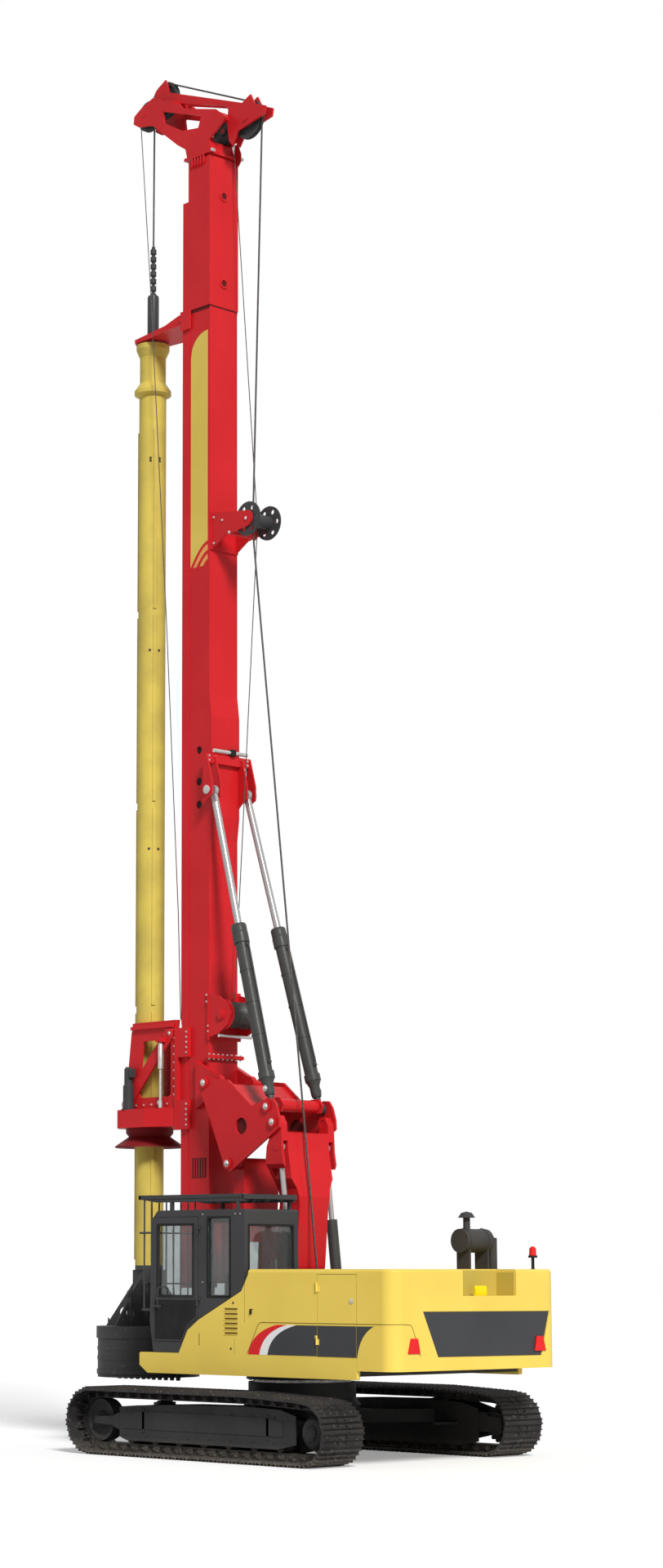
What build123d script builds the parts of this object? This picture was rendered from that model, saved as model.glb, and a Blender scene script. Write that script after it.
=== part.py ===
from build123d import *
from math import atan2, cos, hypot, pi, sin
import os

# Rotary piling rig on crawler tracks, at its real size in millimetres.
# X points forward, Y to the rig's left and Z up. Every size below is measured from the slewing axis,
# and the finished pieces are shifted by SLEW_X, so that the origin lies under the middle of the rig.
SLEW_X = -345

# Tracks
TRACK_Y = 1631            # middle of a track
SHOE_WIDTH = 700
WHEEL_X = 1997            # idler in front, sprocket behind
FRONT_R = 402             # outer face of the shoe plates round the idler
REAR_R = 378              # and round the sprocket
SHOE_COUNT = 50
SHOE_THICK = 25
GROUSER = 30              # height of a grouser over its plate
CHAIN_DEPTH = 95
CHAIN_WIDTH = 210
SAG_X = -900              # rear carrier roller, where the top run starts to drop
FRAME_HALF = 150          # half the width of a track frame
WHEEL_GAP = 16            # idler and sprocket to the chain
CHAIN_Z = GROUSER + SHOE_THICK + CHAIN_DEPTH
ROLLER_R = 78
ROLLER_Z = CHAIN_Z + ROLLER_R + 1
CARRIER_R = 55
CARRIER_Z = GROUSER + 2 * FRONT_R - SHOE_THICK - CHAIN_DEPTH - CARRIER_R - 3
FRAME_Z = (ROLLER_Z + ROLLER_R + 12, 600)
IDLER_R = FRONT_R - SHOE_THICK - CHAIN_DEPTH - WHEEL_GAP
SPROCKET_R = REAR_R - SHOE_THICK - CHAIN_DEPTH - WHEEL_GAP
REAR_WHEEL_Z = GROUSER + REAR_R
FRONT_WHEEL_Z = GROUSER + FRONT_R
TOW_EYE = (860, 0, 32)    # distance from the slewing axis, Y and radius of the tow eyes
TOW_EYE_Z = (475, 525)
LASHING_EYE = (1250, 1200, 27)   # X, Y and radius of the lashing eyes on the track frames
LASHING_EYE_Z = (385, 415)

# Slewing ring and upper deck
DECK_Z = 1082
DECK_TOP = 1150
RING_TOP = 1050
SIDE_Y = 1500             # outer face of the house and cab
PANEL = 45                # thickness of a house panel with its stiffeners
SKIRT_TOP = 1304
ROOF_Z = 2365             # top of the engine house
REAR_X = -3083
DOOR_X = (-2470, -1795)   # shut lines of the side doors
DOOR_HINGE = (DOOR_X[1] - 2, SIDE_Y + 12, 12)   # X, Y and radius of their knuckles
DOOR_HINGE_Z = (1450, 2090)
HOUSE_FRONT = -568
GAP = 5                   # clearance round what moves

# Cab
CAB_X = (-480, 1290)
CAB_Y = (530, 1480)
CAB_Z = (1310, 3120)
WALL = 50                 # thickness of a cab wall or door
PILLAR_X = 390            # hinge side of the cab door
CAB_HINGE = (PILLAR_X - 2, CAB_Y[1] + 18, 11)   # X, Y and radius of its knuckles
CAB_HINGE_Z = (1900, 2800)

# Front linkage: X and Z of its pins
BOOM_FOOT = (160, 1750)
BOOM_TOP = (-19, 4263)
LINK_TOP = (838, 3746)
LINK_FOOT = (LINK_TOP[0] + BOOM_FOOT[0] - BOOM_TOP[0], LINK_TOP[1] + BOOM_FOOT[1] - BOOM_TOP[1])
LIFT_FOOT = (-330, 1480)
LIFT_EYE = (-34, 3940)
LIFT_Y = 415
MAST_PIN = (1307, 4833)
DELTA_Y = (497, 532)      # inner and outer face of a side plate of the delta frame
BOOM_HALF = 487
BOOM_WAIST = 264

# Mast cylinders: foot and rod eye with their Y
MAST_CYL_FOOT = (93, 437, 4467)
MAST_CYL_EYE = (1370, 312, 8830)
CYL_EAR_Y = (396, 420)     # outer plate of the eye's bracket, clear of the eye when the mast lies back

# Mast
MAST_X = (1507, 1920)
MAST_HALF = 265
RAIL_X = 2060
RAIL_Y = (205, 275)
MAST_FOOT_Z = 2120
STEP_Z = 15850
RAIL_TOP_Z = 17430
MAST_TOP_Z = 18050

# Kelly and drilling tool
KELLY_X = 3009
KELLY_R = 195
RIB_R = 213
FLANGE_Z = 14850
KELLY_TOP_Z = 15590
INNER_TOP_Z = 16320
SWIVEL_TOP_Z = 17100
BUCKET_R = 700
BUCKET_Z = (958, 1600)
TOOTH_TIP_Z = 874          # just above the tracks, so that the rig slews over them
GATE_THICK = 35
GATE_PIN = (KELLY_X + 745, 935)

# Rotary drive
DRIVE_BORE = 226
GEARBOX_Z = (4290, 4540)
DRIVE_TOP = 5740          # top of the carriage's arms
CROWD_X = 1985            # axis of the crowd cylinder between the rails
CROWD_Z = (8200, 12600)   # lower and upper end of its barrel

# Sheaves: X and Z of the pin, radius, middle Y
SHEAVES = {
    "head_sheave_front": (2740, 19270, 275, 0),
    "head_sheave_rear": (960, 18450, 275, 0),
    "aux_sheave_front": (2960, 19060, 230, 120),
    "aux_sheave_rear": (1620, 18500, 200, -120),
    "guide_sheave": (796, 12570, 240, 0),
}
SHEAVE_THICK = 60
SPOOL_HALF = 205          # half the width of the guide spool, and the radius of its drum
SPOOL_DRUM = 95
WINCH_AXIS = (-640, 1760)
AUX_WINCH_AXIS = (1230, 5760)


def block(x, y, z):
    """Box between a lowest and a highest X, Y and Z."""
    size = Box(x[1] - x[0], y[1] - y[0], z[1] - z[0], align=(Align.MIN, Align.MIN, Align.MIN))
    return Pos(x[0], y[0], z[0]) * size


def outline(points, corner=0):
    """Flat face in X and Z through the points, with its corners rounded."""
    face = Polygon(*points, align=None)
    if corner:
        face = fillet(face.vertices(), corner)
    return face


def plate(points, y, corner=0):
    """Plate whose outline lies in X and Z, from one Y to another."""
    face = Pos(0, y[1], 0) * (Plane.XZ * outline(points, corner))
    return extrude(face, y[1] - y[0], dir=(0, -1, 0))


def deck(points, z, corner=0):
    """Plate whose outline lies in X and Y, from one Z to another."""
    return extrude(Pos(0, 0, z[0]) * outline(points, corner), z[1] - z[0], dir=(0, 0, 1))


def pin(x, z, radius, y):
    """Round bar across the rig, along Y."""
    bar = Cylinder(radius, y[1] - y[0], align=(Align.CENTER, Align.CENTER, Align.MIN))
    return Pos(x, y[0], z) * Rot(-90, 0, 0) * bar


def post(x, y, radius, z):
    """Upright round bar."""
    bar = Cylinder(radius, z[1] - z[0], align=(Align.CENTER, Align.CENTER, Align.MIN))
    return Pos(x, y, z[0]) * bar


def rod(start, end, radius):
    """Round bar from one point to another."""
    a = Vector(*start)
    b = Vector(*end)
    bar = Cylinder(radius, (b - a).length, align=(Align.CENTER, Align.CENTER, Align.MIN))
    return Plane(origin=a, z_dir=b - a) * bar


def turned(profile, x, y=0):
    """Solid turned about an upright axis, from a profile of radius and Z."""
    face = Plane.XZ * Polygon(*profile, align=None)
    return Pos(x, y, 0) * revolve(face, axis=Axis.Z)


def wheel(profile, x, z, y=0):
    """Solid turned about an axis along Y, from a profile of radius and Y."""
    face = Plane.XZ * Polygon(*profile, align=None)
    return Pos(x, y, z) * Rot(-90, 0, 0) * revolve(face, axis=Axis.Z)


def both(shape):
    """The shape and its mirror image on the rig's other side."""
    return shape + mirror(shape, about=Plane.XZ)


def between(start, end, share):
    """Point at a share of the way from one point to another."""
    return tuple(a + (b - a) * share for a, b in zip(start, end))


# Tracks

def loop_point(distance, inset=0):
    """Point of the track's outer loop at a distance along it, moved inwards by an inset."""
    low = GROUSER
    top_front = low + 2 * FRONT_R
    top_rear = low + 2 * REAR_R
    drop = hypot(SAG_X + WHEEL_X, top_front - top_rear)
    slope = atan2(top_front - top_rear, SAG_X + WHEEL_X)
    lengths = [2 * WHEEL_X, pi * FRONT_R, WHEEL_X - SAG_X, drop, (pi - slope) * REAR_R]
    distance = distance % sum(lengths)
    part = 0
    while distance > lengths[part]:
        distance -= lengths[part]
        part += 1
    if part == 0:
        return -WHEEL_X + distance, low + inset
    if part == 1:
        turn = distance / FRONT_R - pi / 2
        return WHEEL_X + (FRONT_R - inset) * cos(turn), low + FRONT_R + (FRONT_R - inset) * sin(turn)
    if part == 2:
        return WHEEL_X - distance, top_front - inset
    if part == 3:
        return SAG_X - distance * cos(slope), top_front - distance * sin(slope) - inset
    turn = pi / 2 + slope + distance / REAR_R
    return -WHEEL_X + (REAR_R - inset) * cos(turn), low + REAR_R + (REAR_R - inset) * sin(turn)


def loop_length():
    """Length of the track's outer loop."""
    drop = hypot(SAG_X + WHEEL_X, 2 * (FRONT_R - REAR_R))
    slope = atan2(2 * (FRONT_R - REAR_R), SAG_X + WHEEL_X)
    return 3 * WHEEL_X - SAG_X + pi * FRONT_R + drop + (pi - slope) * REAR_R


def shoe_outline():
    """Outer edge of the track: each shoe is a flat plate with three grousers."""
    grousers = [(0.06, 0.12, 0.20), (0.42, 0.49, 0.56), (0.78, 0.86, 0.92)]   # start, tip, end along a shoe
    pitch = loop_length() / SHOE_COUNT
    points = []
    for shoe in range(SHOE_COUNT):
        a = loop_point(shoe * pitch)
        b = loop_point((shoe + 1) * pitch)
        along = ((b[0] - a[0]) / pitch, (b[1] - a[1]) / pitch)
        out = (along[1], -along[0])
        for start, tip, end in grousers:
            for share, height in ((start, 0), (tip, GROUSER), (end, 0)):
                x = a[0] + (b[0] - a[0]) * share + out[0] * height
                z = a[1] + (b[1] - a[1]) * share + out[1] * height
                points.append((x, z))
    return points


def inner_outline(inset):
    """Closed loop through the shoe joints, moved inwards."""
    pitch = loop_length() / SHOE_COUNT
    return [loop_point(shoe * pitch, inset) for shoe in range(SHOE_COUNT)]


def track(side):
    """One track: a loop of shoes on a chain."""
    middle = side * TRACK_Y
    half = SHOE_WIDTH / 2
    chain = CHAIN_WIDTH / 2
    shoes = plate(shoe_outline(), (middle - half, middle + half))
    shoes -= plate(inner_outline(SHOE_THICK), (middle - half - 1, middle + half + 1))
    links = plate(inner_outline(SHOE_THICK - 2), (middle - chain, middle + chain))
    links -= plate(inner_outline(SHOE_THICK + CHAIN_DEPTH), (middle - chain - 1, middle + chain + 1))
    return shoes + links


def track_frame(side):
    """Welded box that carries the rollers, with a yoke in front and a motor bracket behind."""
    middle = side * TRACK_Y
    low, top = FRAME_Z
    side_view = [(-1660, low + 60), (-1540, low), (1560, low), (1680, low + 40), (1680, 500),
                 (1500, 560), (1250, top), (-1250, top), (-1500, 570), (-1660, 540)]
    frame = plate(side_view, (middle - FRAME_HALF, middle + FRAME_HALF), 18)
    for offset in (-1, 1):
        inner = middle + offset * 118
        outer = middle + offset * 148
        arm = [(1600, FRONT_WHEEL_Z - 60), (2060, FRONT_WHEEL_Z - 45), (2060, FRONT_WHEEL_Z + 45),
               (1600, FRONT_WHEEL_Z + 60)]
        frame += plate(arm, (min(inner, outer), max(inner, outer)), 12)
    inside = middle - side * 118
    outside = middle - side * 148
    motor_arm = [(-1600, REAR_WHEEL_Z - 110), (-2120, REAR_WHEEL_Z - 90), (-2120, REAR_WHEEL_Z + 90),
                 (-1600, REAR_WHEEL_Z + 110)]
    frame += plate(motor_arm, (min(inside, outside), max(inside, outside)), 30)
    panel_inner = middle + side * FRAME_HALF
    panel_outer = panel_inner + side * 22
    guard = [(-1500, low + 25), (1480, low + 25), (1480, top - 90), (1200, top - 35), (-1200, top - 35),
             (-1500, top - 80)]
    frame += plate(guard, (min(panel_inner, panel_outer), max(panel_inner, panel_outer)), 20)
    x, y, radius = LASHING_EYE
    root = TRACK_Y - FRAME_HALF + 20
    for end in (-1, 1):
        arm = [(end * x - 150, side * root), (end * x + 150, side * root), (end * x + 60, side * y),
               (end * x - 60, side * y)]
        frame += deck(arm, LASHING_EYE_Z) + post(end * x, side * y, 60, LASHING_EYE_Z)
        frame -= post(end * x, side * y, radius, (low, top))
    return frame


def roller(x, z, radius, middle, top):
    """Track roller between the two blocks that bolt it to the frame."""
    half = CHAIN_WIDTH / 2
    barrel = [(0, -half), (radius, -half), (radius, half), (0, half)]
    body = wheel(barrel, x, z, middle)
    for offset in (-1, 1):
        near = middle + offset * (half - 3)
        far = middle + offset * (half + 45)
        low = min(z - 34, top)
        high = max(z + 34, top)
        body += block((x - 45, x + 45), (min(near, far), max(near, far)), (low, high))
    return body


def track_rollers():
    """Seven lower rollers and two carrier rollers on each side."""
    lower = [-1380 + 460 * n for n in range(7)]
    carriers = [SAG_X, 850]
    rollers = []
    for side in (-1, 1):
        middle = side * TRACK_Y
        for x in lower:
            rollers.append(roller(x, ROLLER_Z, ROLLER_R, middle, FRAME_Z[0]))
        for x in carriers:
            rollers.append(roller(x, CARRIER_Z, CARRIER_R, middle, FRAME_Z[1]))
    return Compound(rollers)


def idlers():
    """Front idler wheels, with their stub shafts in the yokes."""
    wheels = []
    for side in (-1, 1):
        rim = [(0, -70), (90, -100), (120, -60), (200, -60), (230, -95), (IDLER_R, -95), (IDLER_R, 95),
               (230, 95), (200, 60), (120, 60), (90, 100), (0, 70)]
        body = wheel(rim, WHEEL_X, FRONT_WHEEL_Z, side * TRACK_Y)
        body += pin(WHEEL_X, FRONT_WHEEL_Z, 35, (side * TRACK_Y - 118, side * TRACK_Y + 118))
        wheels.append(body)
    return Compound(wheels)


def sprockets():
    """Rear sprockets, each with its teeth and the round final drive beside it."""
    teeth = 17
    wheels = []
    for side in (-1, 1):
        middle = side * TRACK_Y
        edge = []
        for tooth in range(teeth):
            for share, radius in ((0.1, 0.86), (0.35, 1.0), (0.65, 1.0), (0.9, 0.86)):
                turn = 2 * pi * (tooth + share) / teeth
                edge.append((WHEEL_X * -1 + SPROCKET_R * radius * cos(turn),
                             REAR_WHEEL_Z + SPROCKET_R * radius * sin(turn)))
        body = plate(edge, (middle - 35, middle + 35))
        drive = [(0, 0), (195, 0), (195, 95), (165, 130), (95, 150), (95, 165), (0, 165)]
        cover = wheel(drive if side > 0 else [(r, -y) for r, y in drive], -WHEEL_X, REAR_WHEEL_Z,
                      middle + side * 34)
        motor = pin(-WHEEL_X, REAR_WHEEL_Z, 150, (min(middle - side * 30, middle - side * 118),
                                                  max(middle - side * 30, middle - side * 118)))
        wheels.append(body + cover + motor)
    return Compound(wheels)


def car_body():
    """Centre of the undercarriage: a round tub with four legs to the track frames."""
    low, top = 400, 640
    inner_y = TRACK_Y - FRAME_HALF
    leg = [(330, -380), (980, -inner_y), (560, -inner_y), (0, -620), (-560, -inner_y), (-980, -inner_y),
           (-330, -380), (-330, 380), (-980, inner_y), (-560, inner_y), (0, 620), (560, inner_y),
           (980, inner_y), (330, 380)]
    frame = deck(leg, (low, 570))
    tub = turned([(0, low), (720, low), (760, top), (700, top + 90), (700, 930), (0, 930)], 0)
    frame += tub
    x, y, radius = TOW_EYE
    for side in (-1, 1):
        tongue = [(side * 650, -130), (side * 650, 130), (side * x, 65), (side * x, -65)]
        frame += deck(tongue, TOW_EYE_Z) + post(side * x, y, 65, TOW_EYE_Z)
        frame -= post(side * x, y, radius, (low, top))
    return frame


def slew_ring():
    """Inner race of the slewing ring, bolted to the tub."""
    return turned([(560, 930), (640, 930), (640, RING_TOP), (560, RING_TOP)], 0)


# Upper deck and house

def lug(at, y, radius, base_half, base_z):
    """Upright lug with a round head for a pin across the rig."""
    x, z = at
    shape = plate([(x - base_half, base_z), (x + base_half, base_z), (x + radius * 0.95, z),
                   (x - radius * 0.95, z)], y)
    return shape + pin(x, z, radius, y)


def upper_frame():
    """Slewing deck: bottom plate with its race, side beams, nose and the lugs of the front linkage."""
    edge = [(-2460, -1435), (-2460, 1435), (1400, 1435), (1400, 540), (1180, 400), (1180, -400),
            (1050, -560), (1050, -1435)]
    frame = deck(edge, (DECK_Z, DECK_TOP), 30)
    frame += turned([(645, 965), (725, 965), (725, DECK_Z + 5), (645, DECK_Z + 5)], 0)
    base = DECK_TOP - 10
    beam = [(-2440, base), (880, base), (820, 1230), (420, 1500), (-40, 1500), (-260, 1400), (-900, 1330),
            (-2440, 1280)]
    frame += both(plate(beam, (290, 332)))
    frame += both(lug(BOOM_FOOT, (290, 332), 110, 230, 1400))
    frame += both(lug(LINK_FOOT, (325, 365), 72, 120, base))
    for y in ((LIFT_Y - 72, LIFT_Y - 50), (LIFT_Y + 50, LIFT_Y + 72)):
        frame += both(lug(LIFT_FOOT, y, 75, 150, base))
    frame -= pin(BOOM_FOOT[0], BOOM_FOOT[1], 62, (-400, 400))
    frame -= pin(LINK_FOOT[0], LINK_FOOT[1], 42, (-400, 400))
    frame += both(pin(LIFT_FOOT[0], LIFT_FOOT[1], 35, (LIFT_Y - 60, LIFT_Y + 60)))
    return frame


def skirts():
    """Yellow band along both sides of the deck and round its front corners."""
    left = [(DOOR_X[0], DECK_Z - 40), (1340, DECK_Z - 40), (1495, DECK_Z + 60), (1495, SKIRT_TOP),
            (DOOR_X[0], SKIRT_TOP)]
    right = [(DOOR_X[0], DECK_Z - 40), (980, DECK_Z - 40), (1110, DECK_Z + 60), (1110, SKIRT_TOP),
             (DOOR_X[0], SKIRT_TOP)]
    return Compound([plate(left, (SIDE_Y - 60, SIDE_Y), 25), plate(right, (-SIDE_Y, 60 - SIDE_Y), 25)])


def knuckles(axis, heights, leaf, face):
    """Hinge knuckles round an upright axis, each on a leaf that reaches to an X and lies on a face."""
    x, y, radius = axis
    side = 1 if y > 0 else -1
    body = None
    for low, top in heights:
        piece = post(x, y, radius, (low, top))
        near, far = side * face, y - side * 4
        piece += block((min(x, leaf), max(x, leaf)), (min(near, far), max(near, far)), (low, top))
        body = piece if body is None else body + piece
    return body


def door_knuckles(side, moving):
    """Knuckles of a side door, or those of the house panel just above them."""
    x, y, radius = DOOR_HINGE
    rise, height, leaf = (0, 70, x - 35) if moving else (72, 40, x + 35)
    heights = [(z + rise, z + rise + height) for z in DOOR_HINGE_Z]
    return knuckles((x, side * y, radius), heights, leaf, SIDE_Y - 2)


def house_left():
    """Left panel of the engine house, which sweeps forward under the back of the cab."""
    shape = [(DOOR_X[1] + GAP, SKIRT_TOP), (735, SKIRT_TOP), (568, 1592), (359, 1728), (-441, 2092),
             (HOUSE_FRONT, ROOF_Z - 60), (DOOR_X[1] + GAP, ROOF_Z - 60)]
    panel = plate(shape, (SIDE_Y - PANEL, SIDE_Y))
    for row in range(6):
        slot = block((-370, -125), (SIDE_Y - 70, SIDE_Y + 10), (1555 + 60 * row, 1580 + 60 * row))
        panel -= slot
    return panel + door_knuckles(1, False)


def house_right():
    """Right panel of the engine house, with the cooler's air slots."""
    shape = [(DOOR_X[1] + GAP, SKIRT_TOP), (HOUSE_FRONT, SKIRT_TOP), (HOUSE_FRONT, ROOF_Z - 60),
             (DOOR_X[1] + GAP, ROOF_Z - 60)]
    panel = plate(shape, (-SIDE_Y, PANEL - SIDE_Y))
    for row in range(10):
        panel -= block((-1500, -850), (-SIDE_Y - 10, 70 - SIDE_Y), (1560 + 62 * row, 1588 + 62 * row))
    return panel + door_knuckles(-1, False)


def side_door(side):
    """Hinged door of the engine house between its two shut lines."""
    y = (SIDE_Y - PANEL, SIDE_Y) if side > 0 else (-SIDE_Y, PANEL - SIDE_Y)
    shape = [(DOOR_X[0] + GAP, SKIRT_TOP + GAP), (DOOR_X[1] - GAP, SKIRT_TOP + GAP),
             (DOOR_X[1] - GAP, ROOF_Z - 65), (DOOR_X[0] + GAP, ROOF_Z - 65)]
    return plate(shape, y) + door_knuckles(side, True)


def hood():
    """Roof of the engine house, open over the winch bay, with the house's front walls."""
    roof = block((DOOR_X[0], HOUSE_FRONT), (-SIDE_Y, SIDE_Y), (ROOF_Z - 60, ROOF_Z))
    edges = roof.edges().filter_by(Axis.X).group_by(Axis.Z)[-1]
    roof = fillet(edges, 45)
    roof -= block((-1080, HOUSE_FRONT + 10), (-500, 500), (ROOF_Z - 80, ROOF_Z + 20))
    for y in ((500, SIDE_Y - 62), (62 - SIDE_Y, -500)):
        roof += block((HOUSE_FRONT - 40, HOUSE_FRONT), y, (DECK_TOP, ROOF_Z - 60))
    for y in ((500, 530), (-530, -500)):
        roof += block((-1080, HOUSE_FRONT), y, (DECK_TOP, ROOF_Z - 60))
    roof += block((-1110, -1080), (-530, 530), (1350, ROOF_Z - 60))
    return roof


def counterweight():
    """Cast counterweight across the back, with rounded corners and a recess at its top edge."""
    plan = [(DOOR_X[0] - GAP, -SIDE_Y), (DOOR_X[0] - GAP, SIDE_Y), (REAR_X, SIDE_Y), (REAR_X, -SIDE_Y)]
    body = deck(plan, (DECK_TOP, ROOF_Z))
    corners = body.edges().filter_by(Axis.Z).group_by(Axis.X)[0]
    body = fillet(corners, 190)
    body = fillet(body.faces().sort_by(Axis.Z)[-1].edges().group_by(Axis.X)[0], 40)
    body -= block((REAR_X - 10, REAR_X + 330), (-720, 260), (2040, ROOF_Z + 10))
    panel = Plane.YZ * Polygon((-1342, 1850), (977, 1860), (713, 1305), (-1179, 1300), align=None)
    body -= extrude(Pos(REAR_X + 12, 0, 0) * panel, 30, dir=(-1, 0, 0))
    return body


def tank_box():
    """Fuel tank and tool box in front of the house on the right."""
    shape = [(HOUSE_FRONT + 6, SKIRT_TOP), (1100, SKIRT_TOP), (1100, 1560), (780, 1560), (780, 1820), (480, 1820),
             (480, 2060), (HOUSE_FRONT + 6, 2060)]
    return plate(shape, (-SIDE_Y, -600), 12)


def engine_block():
    """Diesel engine and pumps behind the winch, as one plain block."""
    return block((-2330, -1160), (-1050, 250), (1345, 2120))


def muffler():
    """Silencer on the hood, with its cap, its elbow and the legs that carry it."""
    x, z = -2280, 2720
    body = pin(x, z, 150, (-1050, -560))
    body += rod((x, -700, z + 130), (x, -700, z + 300), 45)
    cap = [(0, z + 290), (110, z + 290), (70, z + 350), (0, z + 370)]
    body += turned(cap, x, -700)
    body += rod((x, -1000, z), (x, -1180, z), 60)
    body += rod((x, -1180, z + 40), (x, -1180, ROOF_Z), 60)
    for y in (-980, -640):
        body += block((x - 110, x + 110), (y - 15, y + 15), (ROOF_Z, z - 60))
    return body


def lamps():
    """Warning beacon at the right rear corner and the slanted tail lamps."""
    x, y = -2830, -1330
    low = ROOF_Z
    profile = [(0, low), (18, low), (18, low + 145), (55, low + 145), (55, low + 170), (48, low + 170),
               (44, low + 260), (20, low + 285), (0, low + 285)]
    pieces = [turned(profile, x, y)]
    for side in (-1, 1):
        edge = [(side * 1040, 1360), (side * 1250, 1360), (side * 1200, 1540), (side * 1080, 1540)]
        face = Plane.YZ * Polygon(*edge, align=None)
        pieces.append(extrude(Pos(REAR_X, 0, 0) * face, 14, dir=(-1, 0, 0)))
    return Compound(pieces)


# Winches and sheaves

def drum(x, z, radius, flange, half):
    """Winch drum with two flanges, turning about Y."""
    profile = [(0, -half), (flange, -half), (flange, 25 - half), (radius, 25 - half), (radius, half - 25),
               (flange, half - 25), (flange, half), (0, half)]
    return wheel(profile, x, z)


def sheave(name):
    """Rope sheave with a groove in its rim and a bored hub."""
    x, z, radius, y = SHEAVES[name]
    if name == "guide_sheave":
        return guide_spool(x, z, radius)
    half = SHEAVE_THICK / 2
    profile = [(38, -half), (radius * 0.32, -half), (radius * 0.36, -14), (radius * 0.78, -14),
               (radius * 0.84, -half), (radius, -half), (radius - 32, 0), (radius, half),
               (radius * 0.84, half), (radius * 0.78, 14), (radius * 0.36, 14), (radius * 0.32, half),
               (38, half)]
    return wheel(profile, x, z, y)


def guide_spool(x, z, radius):
    """Wide spool that keeps both ropes off the mast: a slim drum between two drilled flanges."""
    outer, inner = SPOOL_HALF, SPOOL_HALF - 20
    profile = [(38, -outer), (radius, -outer), (radius, -inner), (SPOOL_DRUM, -inner), (SPOOL_DRUM, inner),
               (radius, inner), (radius, outer), (38, outer)]
    spool = wheel(profile, x, z)
    for hole in range(6):
        turn = pi / 3 * hole
        spool -= pin(x + 165 * cos(turn), z + 165 * sin(turn), 34, (-outer - 5, outer + 5))
    return spool


def main_winch():
    """Main winch in the bay behind the boom: cheeks, gearboxes and the rope drum."""
    x, z = WINCH_AXIS
    frame = block((x - 330, x + 300), (-285, 285), (DECK_TOP, DECK_TOP + 40))
    cheek = [(x - 300, DECK_TOP + 30), (x + 260, DECK_TOP + 30), (x + 190, z + 190), (x - 190, z + 190)]
    frame += both(plate(cheek, (245, 280)))
    frame += drum(x, z, 200, 300, 246)
    frame += pin(x, z, 150, (-400, -279))
    frame += pin(x, z, 110, (279, 380))
    return frame


# Cab

def cab_shell():
    """Hollow cab of pillars and walls, with its door opening and every window cut."""
    x, y, z = CAB_X, CAB_Y, CAB_Z
    side_view = [(x[0], z[0]), (x[1] - 40, z[0]), (x[1] + 30, z[0] + 400), (x[1], z[1] - 120), (x[1] - 120, z[1]),
                 (x[0], z[1])]
    shell = plate(side_view, y, 30)
    inner = [(x[0] + WALL, z[0] + WALL), (x[1] - 40 - WALL, z[0] + WALL), (x[1] + 30 - WALL, z[0] + 400),
             (x[1] - WALL, z[1] - 140), (x[1] - 130, z[1] - WALL), (x[0] + WALL, z[1] - WALL)]
    shell -= plate(inner, (y[0] + WALL, y[1] - WALL), 20)
    shell -= block((x[0] - 10, x[0] + 90), (608, 1416), (2300, 2930))
    shell -= block((x[1] - 160, x[1] + 60), (y[0] + 75, y[1] - 75), (1700, 2960))
    shell -= block((-222, 222), (y[1] - 90, y[1] + 20), (2010, 3030))
    shell -= block((x[0] + 150, x[1] - 160), (y[0] - 20, y[0] + 90), (2010, 3000))
    shell -= plate(door_outline(-GAP), (y[1] - WALL - 5, y[1] + 20))
    fairing = [(-600, 1250), (745, 1250), (745, 1310), (580, 1604), (367, 1743), (-436, 2107), (-500, 2260), (-600, 2260)]
    shell -= plate(fairing, (SIDE_Y - PANEL - 5, y[1] + 30))
    heights = [(low + 72, low + 112) for low in CAB_HINGE_Z]
    return shell + knuckles(CAB_HINGE, heights, PILLAR_X - 40, y[1] - 2)


def door_outline(inset):
    """Outline of the cab door, moved inwards all round by an inset."""
    low, top = CAB_Z[0] + 140, CAB_Z[1] - 90
    front = CAB_X[1] - 40
    return [(PILLAR_X + 285 + inset, low + inset), (front - inset, low + inset), (front - inset, top - inset),
            (PILLAR_X + inset, top - inset), (PILLAR_X + inset, 1760 + inset), (PILLAR_X + 200 + inset, 1640 + inset)]


def cab_door():
    """Cab door as thick as its whole wall, with its window cut and a handle."""
    door = plate(door_outline(0), (CAB_Y[1] - WALL, CAB_Y[1] + 5))
    door -= block((PILLAR_X + 75, CAB_X[1] - 110), (CAB_Y[1] - 90, CAB_Y[1] + 30), (2010, CAB_Z[1] - 170))
    door += block((CAB_X[1] - 200, CAB_X[1] - 80), (CAB_Y[1] + 5, CAB_Y[1] + 35), (1880, 1910))
    heights = [(low, low + 70) for low in CAB_HINGE_Z]
    return door + knuckles(CAB_HINGE, heights, PILLAR_X + 30, CAB_Y[1] + 3)


def cab_door_glass():
    """Window of the cab door."""
    return block((PILLAR_X + 76, CAB_X[1] - 111), (CAB_Y[1] - 30, CAB_Y[1] - 24), (2011, CAB_Z[1] - 171))


def cab_glass():
    """Panes of the front, rear, left and right windows."""
    x, y = CAB_X, CAB_Y
    panes = [
        block((x[0] + 20, x[0] + 26), (609, 1415), (2301, 2929)),
        block((-221, 221), (y[1] - 30, y[1] - 24), (2011, 3029)),
        block((x[0] + 151, x[1] - 161), (y[0] + 20, y[0] + 26), (2011, 2999)),
        block((x[1] - 38, x[1] - 32), (y[0] + 76, y[1] - 76), (1701, 2959)),
    ]
    return Compound(panes)


def cab_seat():
    """Driver's seat with its consoles."""
    seat = block((150, 620), (800, 1230), (1450, 1800))
    seat += block((60, 190), (800, 1230), (1700, 2350))
    seat += block((130, 640), (690, 790), (1450, 1980))
    seat += block((130, 640), (1240, 1340), (1450, 1980))
    return seat - block((-300, 1200), (500, 1500), (1000, CAB_Z[0] + WALL))


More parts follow.
